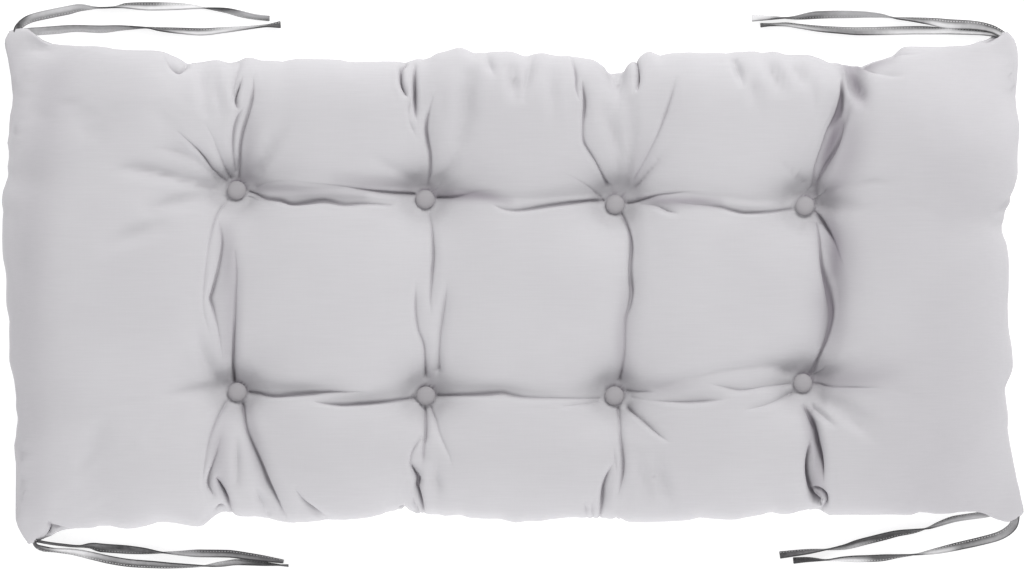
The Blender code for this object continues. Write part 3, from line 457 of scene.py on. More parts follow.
    ("near_2_edge", 3, 3, 1.1, ((-99, -212, 2), (-97, -221, 5), (-92, -227, 5), (-85, -231, 2))),
    ("near_2_hook", 2.5, 2.5, 1.1, ((-114, -223, 3), (-110, -221, 7), (-106, -224, 3))),
    ("near_2_right", 4, 3, 1.1, ((-81, -122, 5.6), (-76.5, -134, 4), (-73, -146, 3.2), (-68, -158, 3.2),
        (-63, -169, 2.4), (-60, -179, 0.8))),
    ("near_2_soft", 5, 5, 1.6, ((-79, -183, 2.4), (-76, -195, 6.1), (-74, -208, 2.4))),
    ("near_3_main", 3, 3, 1.0, ((106, -122, 6), (107, -136, 4.5), (108, -151, 5.2), (109.5, -164, 6.8),
        (110.5, -176, 7.5), (110, -188, 6.8), (108, -199, 3.8), (105, -210, 0.8))),
    ("near_3_thin", 2, 2, 1.2, ((101.5, -162, 1), (103, -175, 3), (104, -188, 1))),
    ("near_3_left", 4, 3, 1.0, ((99.5, -180, 2.5), (95, -190, 6.8), (92, -200, 9.3), (90.5, -211, 10.2),
        (89, -222, 7.6), (87.5, -232, 4.2))),
    ("near_3_right", 3.5, 2.5, 1.0, ((115, -122, 7), (123, -129, 5.6), (131, -136, 5.6), (139, -143, 4.9),
        (147, -150, 3.5), (156, -156, 0.7))),
    ("near_3_soft_1", 6, 6, 1.7, ((126, -175, 2.7), (131, -191, 5.4), (136, -207, 2.7))),
    ("near_3_soft_2", 6, 6, 1.7, ((142, -175, 2.7), (149, -195, 6.7), (157, -217, 2.7))),
    ("near_3_mark_1", 3, 3, 1.2, ((72, -218, 2), (74, -224, 4), (75, -231, 2))),
    ("near_3_mark_2", 3, 3, 1.2, ((80, -218, 2), (80.5, -226, 4), (81, -233, 2))),
    ("near_3_hook", 2.5, 2.5, 1.1, ((101, -235, 2), (106, -232.5, 6), (113, -236, 2))),
    ("near_4_main", 4, 3, 1.0, ((293, -121, 8), (297.5, -131, 12), (301, -142, 14), (303.5, -154, 15),
        (306, -166, 14), (308, -178, 11), (309.5, -189, 5), (310, -196, 1))),
    ("near_4_second", 3, 2.5, 1.0, ((297.5, -156, 3), (296, -165, 9), (294.8, -175, 12), (295, -185, 14),
        (296.5, -195, 14), (298.5, -204, 13), (301, -211, 12), (306, -215, 10))),
    ("near_4_curl", 2, 2, 1.0, ((301, -202, 6), (307, -204, 9), (312, -209, 10), (313.5, -216, 8),
        (309, -223, 4))),
    ("near_4_curl_lip", 1.8, 1.8, 1.5, ((301, -205, -3), (307, -207.5, -4), (311, -213, -4),
        (309, -219, -3))),
    ("near_4_fan_high", 8, 6, 1.5, ((306, -114, 6), (326, -120, 6), (346, -131, 5), (368, -143, 2))),
    ("near_4_fan_low", 5, 4, 1.4, ((299, -120, 6), (308, -129, 6), (320, -139, 2))),
    ("right_edge", 4, 4, 1.3, ((500, 89, 3), (492, 79, 3), (484, 71, 1))),
    ("column_4_bank", 45, 6, 1.6, ((309, 62, 3), (312, 40, 7), (316, 15, 9), (320, -10, 9), (319, -35, 8),
        (311, -62, 5))),
    ("far_4_bank", 40, 6, 1.6, ((303, 98, 5), (310, 120, 8), (320, 145, 8), (330, 170, 6), (338, 185, 3))),
    ("far_row_end_high", 7, 6, 1.5, ((308, 90, 7), (330, 98, 7), (360, 104, 5), (390, 106, 2))),
    ("far_row_bank", 26, 5, 1.7, ((-262, 96, 2), (-230, 94, 4), (-180, 95, 4), (-120, 96, 5), (-60, 94, 5),
        (0, 86, 4), (60, 88, 4), (120, 92, 4), (180, 90, 4), (240, 84, 4), (290, 86, 3))),
    ("far_1_groove_low", 5, 5, 1.6, ((-298, 216, 1.6), (-295, 195, 4.8), (-290, 168, 1.6))),
    ("far_1_east_fan", 6, 6, 1.6, ((-224, 168, 0.8), (-238, 143, 4), (-254, 115, 6.4))),
    ("far_2_west_fan", 7, 7, 1.6, ((-148, 131, 0.8), (-120, 116, 4.8), (-95, 102, 6.4))),
    ("far_2_east_fan", 6, 6, 1.6, ((-53, 134, 0.8), (-62, 118, 4.8), (-74, 102, 6.4))),
    ("far_2_edge_soft_2", 4, 4, 1.5, ((-27, 231, 1.6), (-23, 221, 4.8), (-19, 211, 1.6))),
    ("far_2_edge_soft_3", 4, 4, 1.5, ((20, 224, 1.6), (16, 206, 4.8), (11, 186, 1.6))),
    ("far_3_edge_soft", 5, 5, 1.6, ((38, 223, 1.6), (40, 195, 4), (42, 160, 0.8))),
    ("far_4_edge_soft_1", 5, 5, 1.6, ((238, 209, 0.8), (242, 190, 4), (246, 167, 0.8))),
    ("far_4_edge_soft_2", 5, 5, 1.6, ((299, 216, 0.8), (302, 185, 4.8), (303, 150, 1.6))),
    ("far_4_west_fan", 5, 5, 1.3, ((259, 134, 0.5), (272, 120, 4), (292, 99, 7))),
    ("near_1_west", 6, 6, 1.6, ((-348, -109, 1), (-322, -106, 4.5), (-292, -103, 6))),
    ("near_4_east_fan", 6, 6, 1.6, ((318, -121, 4.8), (345, -140, 4.8), (372, -161, 0.8))),
)]


# Where the cloth lies in the shade: between two folds, under a flap, or at an end that slopes away. A row
# tells how far the shade spreads, then x, y and the darkness along its line.
SHADES = [(reach, [FoldPoint(*point) for point in route]) for reach, route in (
    (6, ((-78, 92, 0.5), (-60, 90, 0.72), (-30, 89, 0.72), (-5, 84, 0.3))),
    (6, ((-254, 97, 0.3), (-225, 95, 0.3), (-190, 92, 0.2), (-150, 88, 0.2))),
    (8, ((-262, -128, 0.15), (-258, -150, 0.25), (-250, -180, 0.15))),
    (8, ((114, 0, 0.12), (112, -30, 0.28), (110, -60, 0.34), (112, -88, 0.3))),
    (9, ((138, -103, 0.2), (160, -101, 0.2), (182, -97, 0.05))),
    (12, ((-497, 232, 0.12), (-498, 165, 0.12))),
    (5.5, ((128, 86, 0.4), (150, 84, 0.6), (185, 83, 0.62), (206, 81, 0.35))),
    (6.5, ((327, 170, 0.4), (324, 157, 0.8), (320, 145, 0.95), (314, 130, 0.85), (309, 118, 0.55),
        (303, 104, 0.2))),
    (15, ((336, 172, 0.2), (336, 145, 0.38), (330, 118, 0.42), (320, 95, 0.45))),
    (6, ((318, 62, 0.3), (322, 45, 0.6), (323, 30, 0.6), (322, 12, 0.3))),
    (17, ((316, 66, 0.3), (326, 35, 0.4), (324, 5, 0.4), (318, -18, 0.45), (318, -45, 0.36),
        (311, -68, 0.15))),
    (9, ((-172, 104, 0.15), (-140, 101, 0.3), (-104, 99, 0.32))),
    (9, ((-284, 55, 0.2), (-281, 25, 0.32), (-280, -20, 0.32), (-282, -65, 0.25))),
    (10, ((-288, -135, 0.15), (-292, -165, 0.28), (-290, -200, 0.2))),
    (7, ((336, 215, 0.4), (342, 204, 0.75), (346, 192, 0.65), (351, 182, 0.2))),
    (6, ((328, 224, 0.25), (340, 219, 0.5), (351, 218.5, 0.55), (363, 221, 0.5), (378, 226, 0.2))),
    (22, ((-482, -225, 0.14), (-482, 0, 0.17), (-470, 130, 0.18), (-456, 205, 0.2))),
    (13, ((304, -94, 0.36), (330, -95, 0.4), (366, -90, 0.22), (392, -82, 0.05))),
    (7, ((295, -128, 0.32), (302, -165, 0.4), (305, -208, 0.4))),
    (9, ((-262, 165, 0.1), (-261, 140, 0.22), (-262, 110, 0.3))),
    (11, ((140, 150, 0.05), (133, 125, 0.22), (122, 105, 0.25))),
    (70, ((425, -205, 0.2), (430, -100, 0.12), (430, 0, 0.07), (430, 130, 0.12), (430, 190, 0.1))),
)]


def points_of(mesh):
    """Places of a mesh's points, in millimetres."""
    places = np.zeros(len(mesh.vertices) * 3)
    mesh.vertices.foreach_get("co", places)
    return places.reshape(-1, 3) / MM


def normals_of(mesh):
    """Directions in which a mesh's points face."""
    normals = np.zeros(len(mesh.vertices) * 3)
    mesh.vertex_normals.foreach_get("vector", normals)
    return normals.reshape(-1, 3)


def centres_of(mesh):
    """Middles of a mesh's faces, in millimetres."""
    middles = np.zeros(len(mesh.polygons) * 3)
    mesh.polygons.foreach_get("center", middles)
    return middles.reshape(-1, 3) / MM


def move_points(mesh, places):
    """Puts a mesh's points at new places, in millimetres."""
    mesh.vertices.foreach_set("co", (places * MM).ravel())
    mesh.update()


def eased(share):
    """Smooth step from 0 to 1."""
    held = np.clip(share, 0.0, 1.0)
    return held * held * (3 - 2 * held)


def curved(route):
    """A fold's line with more points between the table's rows, on a smooth curve through them."""
    rows = np.array(route, dtype=float)
    ends = np.vstack((2 * rows[0] - rows[1], rows, 2 * rows[-1] - rows[-2]))
    fine = []
    for step in range(len(rows) - 1):
        before, start, end, after = ends[step:step + 4]
        for share in np.arange(CURVE_STEPS) / CURVE_STEPS:
            fine.append(start + 0.5 * share * (end - before + share * (
                2 * before - 5 * start + 4 * end - after + share * (3 * (start - end) + after - before))))
    fine.append(rows[-1])
    return np.array(fine)


def near_line(x, y, line):
    """Offsets from a fold's line to each place, the line's depth there, and the side each lies on."""
    nearest = np.full(len(x), np.inf)
    found = np.zeros((4, len(x)))
    for start, end in zip(line, line[1:]):
        run = end - start
        share = ((x - start[0]) * run[0] + (y - start[1]) * run[1]) / (run[0] ** 2 + run[1] ** 2)
        share = np.clip(share, 0.0, 1.0)
        off_x = x - start[0] - share * run[0]
        off_y = y - start[1] - share * run[1]
        away = np.hypot(off_x, off_y)
        closer = away < nearest
        nearest[closer] = away[closer]
        values = np.array((off_x, off_y, start[2] + run[2] * share, run[0] * off_y - run[1] * off_x))
        found[:, closer] = values[:, closer]
    return nearest, found


def folds_near(x, y, reach_count):
    """For each fold: the places within some of its reaches, and what near_line finds there."""
    for fold in FOLDS:
        line = curved(fold.route)
        margin = reach_count * max(fold.left, fold.right)
        low = line.min(axis=0) - margin
        high = line.max(axis=0) + margin
        inside = np.nonzero((x > low[0]) & (x < high[0]) & (y > low[1]) & (y < high[1]))[0]
        if len(inside):
            yield fold, inside, *near_line(x[inside], y[inside], line)


def nearest_sharp_fold(x, y):
    """Distance to the nearest narrow fold, the offset from it and its depth."""
    nearest = np.full(len(x), np.inf)
    offset = np.zeros((2, len(x)))
    depth = np.zeros(len(x))
    for fold, inside, away, found in folds_near(x, y, SHARP_SEARCH):
        if min(fold.left, fold.right) > NARROW_REACH:
            continue
        closer = (away < nearest[inside]) & (found[2] > 0)
        chosen = inside[closer]
        nearest[chosen] = away[closer]
        offset[:, chosen] = found[:2, closer]
        depth[chosen] = found[2, closer]
    return nearest, offset, depth


def fold_pull(x, y):
    """How far folds draw the cloth in at each place, how far lips push it out, and painted shade in slits.
    """
    pulls = np.zeros(len(x))
    lips = np.zeros(len(x))
    painted_slit_shades = np.zeros(len(x))
    for fold, inside, away, found in folds_near(x, y, PULL_SEARCH):
        reach = np.where(found[3] > 0, fold.left, fold.right)
        rounded = np.sqrt(away ** 2 + LINE_ROUNDING ** 2) - LINE_ROUNDING
        drawn_tight = np.clip(found[2] / PINCH_FULL_DEPTH, 0.0, PINCH_MOST)
        pinch = PINCH_SHARE * np.clip((SOFT_SHARPNESS - fold.sharpness) / SHARPNESS_SPAN, 0.0, 1.0)
        trough = (1.0 - pinch) * np.exp(-(rounded / reach) ** max(fold.sharpness, TROUGH_ROUNDNESS))
        slit = np.exp(-(rounded / PINCH_WIDTH) ** SLIT_POWER)
        shape = found[2] * (trough + pinch * PINCH_GAIN * slit * drawn_tight ** 0.5)
        # Painted shade in the pinched slit: darker the tighter and deeper the fold is drawn.
        painted_slit_shade = pinch * slit * drawn_tight ** 1.5
        painted_slit_shades[inside] = np.maximum(painted_slit_shades[inside], painted_slit_shade)
        pulls[inside] += np.maximum(shape, 0.0) ** NORM_POWER
        lips[inside] += np.maximum(-shape, 0.0)
        bulge = LIP_SHARE * np.maximum(found[2], 0.0) * np.exp(-(away / reach - LIP_DISTANCE) ** 2)
        lips[inside] = np.maximum(lips[inside], bulge)
    return pulls ** (1 / NORM_POWER), lips, painted_slit_shades


def shade_at(x, y):
    """How dark the shades make each place, from 0 to 1."""
    light_left = np.ones(len(x))
    for reach, route in SHADES:
        away, found = near_line(x, y, curved(route))
        light_left *= 1.0 - found[2] * np.exp(-(away / reach) ** 2)
    return 1.0 - light_left


def spot_distance(x, y, spots):
    """Distance from each place to the nearest of some spots."""
    return np.min([np.hypot(x - spot.x, y - spot.y) for spot in spots], axis=0)


def towards_shade(right, far):
    """How much a place near a button, given by its steps right and far from it, is on its shaded side."""
    away = np.hypot(right, far)
    return (right * SHADE_ACROSS + far * SHADE_ALONG) * (away < TUFT_REACH) / (away + TUFT_CORE)


def seam_height(x, y):
    """Height of the side seam, which droops towards the corners."""
    droop = eased(spot_distance(x, y, CORNER_TIPS) / SEAM_DROOP_REACH)
    return CORNER_SEAM_HEIGHT + (SEAM_HEIGHT - CORNER_SEAM_HEIGHT) * droop


def rim_shift(places, reading, along, outward):
    """How far out to move each point so that one side's outline follows its table of readings."""
    rows = np.array(reading)
    steps = np.arange(rows[0, along], rows[-1, along], RIM_STEP)
    reach_out = outward * places[:, 1 - along]
    nearest = np.digitize(places[:, along], steps + RIM_STEP / 2)
    outline = np.full(len(steps) + 1, -np.inf)
    np.maximum.at(outline, nearest, reach_out)
    outline = np.max([outline[:-3], outline[1:-2], outline[2:-1]], axis=0)
    outline = np.concatenate((outline[:1], outline, outline[-1:]))
    seen = np.isfinite(outline)
    outline = np.interp(steps, steps[seen], outline[seen])
    wanted = np.interp(steps, rows[:, along], outward * rows[:, 1 - along])
    shift = np.clip(wanted - outline, -RIM_MOST, RIM_MOST)
    shift = np.convolve(np.pad(shift, 1, "edge"), (0.25, 0.5, 0.25), "valid")
    inward = np.interp(places[:, along], steps, outline) - reach_out
    past_ends = np.maximum(steps[0] - places[:, along], places[:, along] - steps[-1])
    kept = (1.0 - eased(inward / RIM_REACH)) * (1.0 - eased(past_ends / RIM_FADE))
    return outward * np.interp(places[:, along], steps, shift) * kept


def only(piece):
    """Makes one object the only selected one and the active one."""
    deselect_all()
    piece.select_set(True)
    bpy.context.view_layer.objects.active = piece


def subdivided(piece):
    """One level of smooth subdivision, applied."""
    only(piece)
    finer = piece.modifiers.new("finer", "SUBSURF")
    finer.levels = 1
    finer.render_levels = 1
    bpy.ops.object.modifier_apply(modifier=finer.name)


def cut_finer(piece, chosen):
    """Cuts the chosen faces' edges in half."""
    only(piece)
    bpy.context.tool_settings.mesh_select_mode = (False, False, True)
    bpy.ops.object.mode_set(mode="EDIT")
    bpy.ops.mesh.select_all(action="DESELECT")
    bpy.ops.object.mode_set(mode="OBJECT")
    piece.data.polygons.foreach_set("select", chosen)
    bpy.ops.object.mode_set(mode="EDIT")
    bpy.ops.mesh.subdivide(number_cuts=1, smoothness=1.0, ngon=False)
    bpy.ops.object.mode_set(mode="OBJECT")


cushion = bpy.data.objects.new("filled_cushion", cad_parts["cushion"].data.copy())
bpy.context.scene.collection.objects.link(cushion)
only(cushion)
cushion.data.materials.clear()
bpy.ops.object.mode_set(mode="EDIT")
bpy.ops.mesh.select_all(action="SELECT")
bpy.ops.mesh.remove_doubles(threshold=MERGE_DISTANCE)
bpy.ops.mesh.tris_convert_to_quads()
bpy.ops.object.mode_set(mode="OBJECT")
subdivided(cushion)

start = points_of(cushion.data)
upward = normals_of(cushion.data)[:, 2]
seat = spot_distance(start[:, 0], start[:, 1], BUTTONS) < PINNED_SEAT_RADIUS
held = seat | (upward < SIDE_SLOPE)
away, offset, depth = nearest_sharp_fold(start[:, 0], start[:, 1])
crease_hold_and_painted_shade = CREASE_HOLD * np.exp(-(away / CREASE_HOLD_REACH) ** 2)
crease_hold_and_painted_shade *= np.minimum(depth / CREASE_HOLD_DEPTH, 1.0)
pin = np.where(held, 1.0, np.round(crease_hold_and_painted_shade, 1))
pins = cushion.vertex_groups.new(name="sewn_or_resting")
for weight in np.unique(pin):
    pins.add(np.nonzero(pin == weight)[0].tolist(), float(weight), "REPLACE")
filling = cushion.modifiers.new("filling", "CLOTH")
filling.settings.quality = 5
filling.settings.use_pressure = True
filling.settings.uniform_pressure_force = FILLING_PRESSURE
filling.settings.vertex_group_mass = pins.name
filling.settings.effector_weights.gravity = 0.0
filling.collision_settings.use_collision = False
for step in range(1, SWELL_FRAMES + 1):
    bpy.context.scene.frame_set(step)
swollen = cushion.evaluated_get(bpy.context.evaluated_depsgraph_get())
moved = points_of(swollen.data) - start
length = np.maximum(np.linalg.norm(moved, axis=1), 0.001)
bpy.context.scene.frame_set(1)
cushion.modifiers.remove(filling)
cushion.vertex_groups.clear()
held_back = SWELL_LIMIT * np.tanh(length / SWELL_LIMIT) / length
move_points(cushion.data, start + moved * held_back[:, None])

# The mesh is cut finest beside the narrow folds, which the next steps draw in.
for cut_round in range(CUT_ROUNDS):
    middles = centres_of(cushion.data)
    sizes = np.zeros(len(cushion.data.polygons))
    cushion.data.polygons.foreach_get("area", sizes)
    facing = np.array([face.normal.z for face in cushion.data.polygons])
    away = nearest_sharp_fold(middles[:, 0], middles[:, 1])[0]
    edge = np.interp(away, FOLD_DISTANCES, EDGES_THERE)
    edge = np.where(facing < UNDERSIDE_SLOPE, UNDERSIDE_EDGE, edge)
    cut_finer(cushion, sizes / MM ** 2 > CUT_OVERSIZE * edge ** 2)
places = points_of(cushion.data)
away = nearest_sharp_fold(places[:, 0], places[:, 1])[0]
cushion.data.vertices.foreach_set("select", (away < SMOOTH_REACH) & (normals_of(cushion.data)[:, 2] > 0.0))
bpy.context.tool_settings.mesh_select_mode = (True, False, False)
bpy.ops.object.mode_set(mode="EDIT")
bpy.ops.mesh.vertices_smooth(factor=0.5, repeat=SMOOTH_ROUNDS)
bpy.ops.object.mode_set(mode="OBJECT")

places = points_of(cushion.data)
normals = normals_of(cushion.data)
# These two look into the places, so that moving them moves the places too.
x, y = places[:, 0], places[:, 1]
away, offset, depth = nearest_sharp_fold(x, y)
near = (away < GATHER_BAND) & (away > ON_THE_LINE) & (normals[:, 2] > FACE_SLOPE)
share = np.minimum(depth / GATHER_FULL_DEPTH, 1.0)
drawn = (np.maximum(away, ON_THE_LINE) / GATHER_BAND) ** (GATHER_POWER - 1.0) - 1.0
closer = np.where(near, drawn, 0.0) * share
x += offset[0] * closer
y += offset[1] * closer
# pinch is how dark to paint the shade in the folds' pinched slits.
pull, lip, pinch = fold_pull(x, y)
on_face = eased((normals[:, 2] + FACE_FADE) / FACE_FADE)
places += normals * ((lip - pull) * on_face)[:, None]

from_button = spot_distance(x, y, BUTTONS)
petal = PETAL_HEIGHT * np.exp(-((from_button - PETAL_RADIUS) / PETAL_WIDTH) ** 2)
towards = np.max([towards_shade(x - spot.x, y - spot.y) for spot in BUTTONS], axis=0)
petal *= (1.0 - PETAL_LEAN + PETAL_LEAN * towards) * (1.0 - np.minimum(pull / PETAL_END_DEPTH, 1.0))
is_face = normals[:, 2] > FACE_SLOPE
places[:, 2] += np.where(is_face, petal, 0.0)
seat = eased((from_button - SEAT_RADIUS) / SEAT_BLEND)
seated = SEAT_HEIGHT + (places[:, 2] - SEAT_HEIGHT) * seat
places[:, 2] = np.where(is_face & (from_button < SEAT_RADIUS + SEAT_BLEND), seated, places[:, 2])

shifts = [rim_shift(places, FAR_RIM, 0, 1.0), rim_shift(places, NEAR_RIM, 0, -1.0),
          rim_shift(places, LEFT_RIM, 1, -1.0), rim_shift(places, RIGHT_RIM, 1, 1.0)]
places[:, 1] += shifts[0] + shifts[1]
places[:, 0] += shifts[2] + shifts[3]

to_seam = places[:, 2] - seam_height(x, y)
stitched = SEAM_DEPTH * np.exp(-(to_seam / SEAM_WIDTH) ** 2) * (np.abs(normals[:, 2]) < SEAM_SLOPE)
places -= normals * stitched[:, None]
places[:, 2] = np.maximum(places[:, 2], 0.0)
move_points(cushion.data, places)
# Painted shade, which the cover's material mixes into its colour: darkening in the folds' pinched slits, a
# ring at each button's edge and a halo on its shaded side, and the shades table.
crease_hold_and_painted_shade = cushion.data.attributes.new("painted_shade", "FLOAT", "POINT")
shaded_side = np.maximum(towards, 0.0)
# Painted shade: a thin ring at each button's edge, darker on its shaded side, and a wider halo there.
painted_ring_shade = np.exp(-((from_button - SHADE_RING_RADIUS) / SHADE_RING_WIDTH) ** 2)
painted_ring_shade *= RING_PAINTED_SHADE + RING_PAINTED_SHADE_SHADED_SIDE * shaded_side
around = np.exp(-(np.maximum(from_button - SHADE_RING_RADIUS, 0.0) / PAINTED_HALO_REACH) ** 2) * PAINTED_HALO_SHADE * shaded_side
dark = 1.0 - (1.0 - np.maximum(pinch, painted_ring_shade)) * (1.0 - around) * (1.0 - shade_at(x, y))
crease_hold_and_painted_shade.data.foreach_set("value", dark * is_face)
only(cushion)
bpy.ops.object.shade_smooth()

COVER_COLOUR = (0.515, 0.509, 0.524, 1.0)
COVER_SHADE = (0.478, 0.471, 0.487, 1.0)
# Colour of the painted shade in creases, round the buttons and in the shaded places.
PAINTED_SHADE_COLOUR = (0.22, 0.20, 0.228, 1.0)
THREAD_PITCH = 0.0005
WEAVE_HEIGHT = 0.000025
SLUB_ALONG = 30.0
SLUB_ACROSS = 900.0
SLUB_DOWN = 200.0
SLUBS_LENGTHWAYS = 1.3
SLUBS_CROSSWAYS = 0.4
SLUB_LEVEL = 0.85
PATCH_SCALE = 7.0
COVER_SHEEN = 0.08


def cotton_with_painted_shade(name, light, shade, sheen):
    """Plain-woven cotton: fine crossing threads, slubs along both, a slightly uneven colour and painted
    shade.
    """
    material, shader, tree = new_material(name)
    place = tree.node("ShaderNodeTexCoord", None, None, "Object")
    axes = tree.node("ShaderNodeSeparateXYZ", None, {0: place}).socket.node.outputs
    turns = [tree.math("SINE", Wire(tree.tree, axis) * (math.pi / THREAD_PITCH)) for axis in axes]
    facing = tree.node("ShaderNodeNewGeometry", None, None, "Normal")
    sides = tree.node("ShaderNodeSeparateXYZ", None, {0: facing}).socket.node.outputs
    to_x, to_y, to_z = [Wire(tree.tree, side) ** 2.0 for side in sides]
    weave = to_z * turns[0] * turns[1] + to_x * turns[1] * turns[2] + to_y * turns[0] * turns[2]
    slubs = []
    for stretch in ((SLUB_ALONG, SLUB_ACROSS, SLUB_DOWN), (SLUB_ACROSS, SLUB_ALONG, SLUB_DOWN)):
        drawn = tree.node("ShaderNodeMapping", {"vector_type": "POINT"}, {"Vector": place, "Scale": stretch})
        slubs.append(tree.node("ShaderNodeTexNoise", None, {"Vector": drawn, "Scale": 1.0, "Detail": 2.0}))
    slub = slubs[0] * SLUBS_LENGTHWAYS + slubs[1] * SLUBS_CROSSWAYS - SLUB_LEVEL
    patches = tree.node("ShaderNodeTexNoise", None, {"Vector": place, "Scale": PATCH_SCALE, "Detail": 3.0})
    tone_and_painted_light = patches.ramp(0.35, 0.7) * 0.5 + slub * 0.9 + 0.25
    colour = tree.node("ShaderNodeMix", {"data_type": "RGBA"},
                       {"Factor": tone_and_painted_light.math("MAXIMUM", tone_and_painted_light, 0.0), "A": light, "B": shade}, 2)
    # Painted shade from a point attribute darkens the colour in creases, round the buttons and in shaded
    # places.
    painted_shade = tree.node("ShaderNodeAttribute", {"attribute_name": "painted_shade"}, None, "Fac")
    colour = tree.node("ShaderNodeMix", {"data_type": "RGBA"},
                       {"Factor": painted_shade, "A": colour, "B": PAINTED_SHADE_COLOUR}, 2)
    tree.tree.links.new(colour.socket, shader.inputs["Base Color"])
    rough = 0.86 + 0.1 * patches
    tree.tree.links.new(rough.socket, shader.inputs["Roughness"])
    height = weave * 0.3 + slub * 0.8
    bump = tree.node("ShaderNodeBump", None,
                     {"Strength": 0.55, "Distance": WEAVE_HEIGHT, "Height": height})
    tree.tree.links.new(bump.socket, shader.inputs["Normal"])
    shader.inputs["Specular IOR Level"].default_value = 0.25
    shader.inputs["Sheen Weight"].default_value = sheen
    shader.inputs["Sheen Roughness"].default_value = 0.5
    return material


cushion.data.materials.append(cotton_with_painted_shade("cover_cotton_and_painted_shade", COVER_COLOUR, COVER_SHADE, COVER_SHEEN))
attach(cushion, "root")
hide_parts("cushion")

# Covered buttons
# Eight domed buttons of pressed metal under a circle of the cover's cotton, whose edge is gathered in
# behind the rim. Each is tied down into its tuft with thread.
BUTTON_RADIUS = 9.5
BUTTON_HEIGHT = 6.2
BUTTON_RIM_HEIGHT = 2.3
BUTTON_FLOOR = 45.3
BUTTON_SEGMENTS = 48
BUTTON_RINGS = 24
RIM_PLEATS = 17
RIM_PLEAT_DEPTH = 0.22
RIM_PLEAT_LEVEL = -0.25
RIM_PLEAT_SPREAD = 0.3
DOME_POWER = 1.15
DOME_EDGE_POWER = 0.8
FOOT_LEVEL = 0.75
FOOT_POWER = 1.6
FOOT_EDGE_POWER = 0.7
# The button cotton is darker than the cover's same cotton: painted shade of the pit each button sits in.
PIT_SHADED_BUTTON_COLOUR = (0.39, 0.378, 0.392, 1.0)
PIT_SHADED_BUTTON_SHADE = (0.36, 0.349, 0.362, 1.0)
BUTTON_SHEEN = 0.05


def button_shape(piece):
    """Turns a unit sphere into a covered button: flat foot, rounded rim with small gathers, low dome."""
    places = points_of(piece.data) * MM
    level = np.clip(places[:, 2], -1.0, 1.0)
    around = np.arctan2(places[:, 1], places[:, 0])
    dome = BUTTON_RIM_HEIGHT + (BUTTON_HEIGHT - BUTTON_RIM_HEIGHT) * np.maximum(level, 0.0) ** DOME_POWER
    under = BUTTON_RIM_HEIGHT * (1.0 - np.minimum(-level / FOOT_LEVEL, 1.0) ** FOOT_POWER)
    height = np.where(level >= 0.0, dome, under)
    width = np.sqrt(np.maximum(1.0 - level ** 2, 0.0))
    radius = BUTTON_RADIUS * np.where(level >= 0.0, width ** DOME_EDGE_POWER, width ** FOOT_EDGE_POWER)
    gathers = np.sin(RIM_PLEATS * around) + 0.6 * np.sin((RIM_PLEATS - 6) * around + 1.3)
    at_rim = np.exp(-((level - RIM_PLEAT_LEVEL) / RIM_PLEAT_SPREAD) ** 2)
    radius -= RIM_PLEAT_DEPTH * (1.0 + gathers) * at_rim
    move_points(piece.data, np.column_stack((radius * np.cos(around), radius * np.sin(around), height)))


deselect_all()
bpy.ops.mesh.primitive_uv_sphere_add(segments=BUTTON_SEGMENTS, ring_count=BUTTON_RINGS, radius=1.0)
pattern_button = bpy.context.object
button_shape(pattern_button)
pit_shaded_button_cotton = cotton_with_painted_shade("pit_shaded_button_cotton", PIT_SHADED_BUTTON_COLOUR, PIT_SHADED_BUTTON_SHADE, BUTTON_SHEEN)
pattern_button.data.materials.append(pit_shaded_button_cotton)
bpy.ops.object.shade_smooth()
for spot in BUTTONS:
    button = bpy.data.objects.new("covered_" + spot.name, pattern_button.data.copy())
    bpy.context.scene.collection.objects.link(button)
    move_points(button.data, points_of(button.data) + np.array((spot.x, spot.y, BUTTON_FLOOR)))
    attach(button, "root")
    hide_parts(spot.name)
bpy.data.objects.remove(pattern_button)

# Tie tapes
# Eight tapes, two at each corner: strips of the cover's cotton folded in, stitched flat near one edge and
# caught in the corner's seam. They are limp and lie on the table top, turning over as they go.
# Roll is a tape's turn about its own length in degrees, 0 lying flat and 90 on edge; lift is its height.
TIE_WIDTH = 10.0
TIE_THICKNESS = 1.5
TIE_EDGE_SHARE = 0.2
TIE_STEP = 2.2
TIE_CROSS_CUTS = 8
TIE_CUP = 0.7
STITCH_INSET = 2.4
STITCH_WIDTH = 0.85
STITCH_LENGTH = 1.7
STITCH_PITCH = 2.9
# How far the tapes' painted light and shade is spread about its middle.
PAINTED_LIGHT_SPREAD = 1.3
PAINTED_LIGHT_MIDDLE = 0.45
EDGE_SHARE_GAIN = 4.0
EDGE_BAND = 0.9
# Painted shade along the tapes' edges.
EDGE_PAINTED_SHADE = 0.35
EDGE_ROUNDING = 0.6
TAPE_THREAD_PITCH = 0.55
THREAD_WHITE = (0.72, 0.72, 0.72, 1.0)
# Colours of the tapes' painted shade and painted light; the tapes are the cover's cotton.
TIE_PAINTED_SHADE_COLOUR = (0.05, 0.049, 0.051, 1.0)
TIE_PAINTED_LIGHT_COLOUR = (0.62, 0.618, 0.625, 1.0)
TiePoint = namedtuple("TiePoint", "x y roll lift")
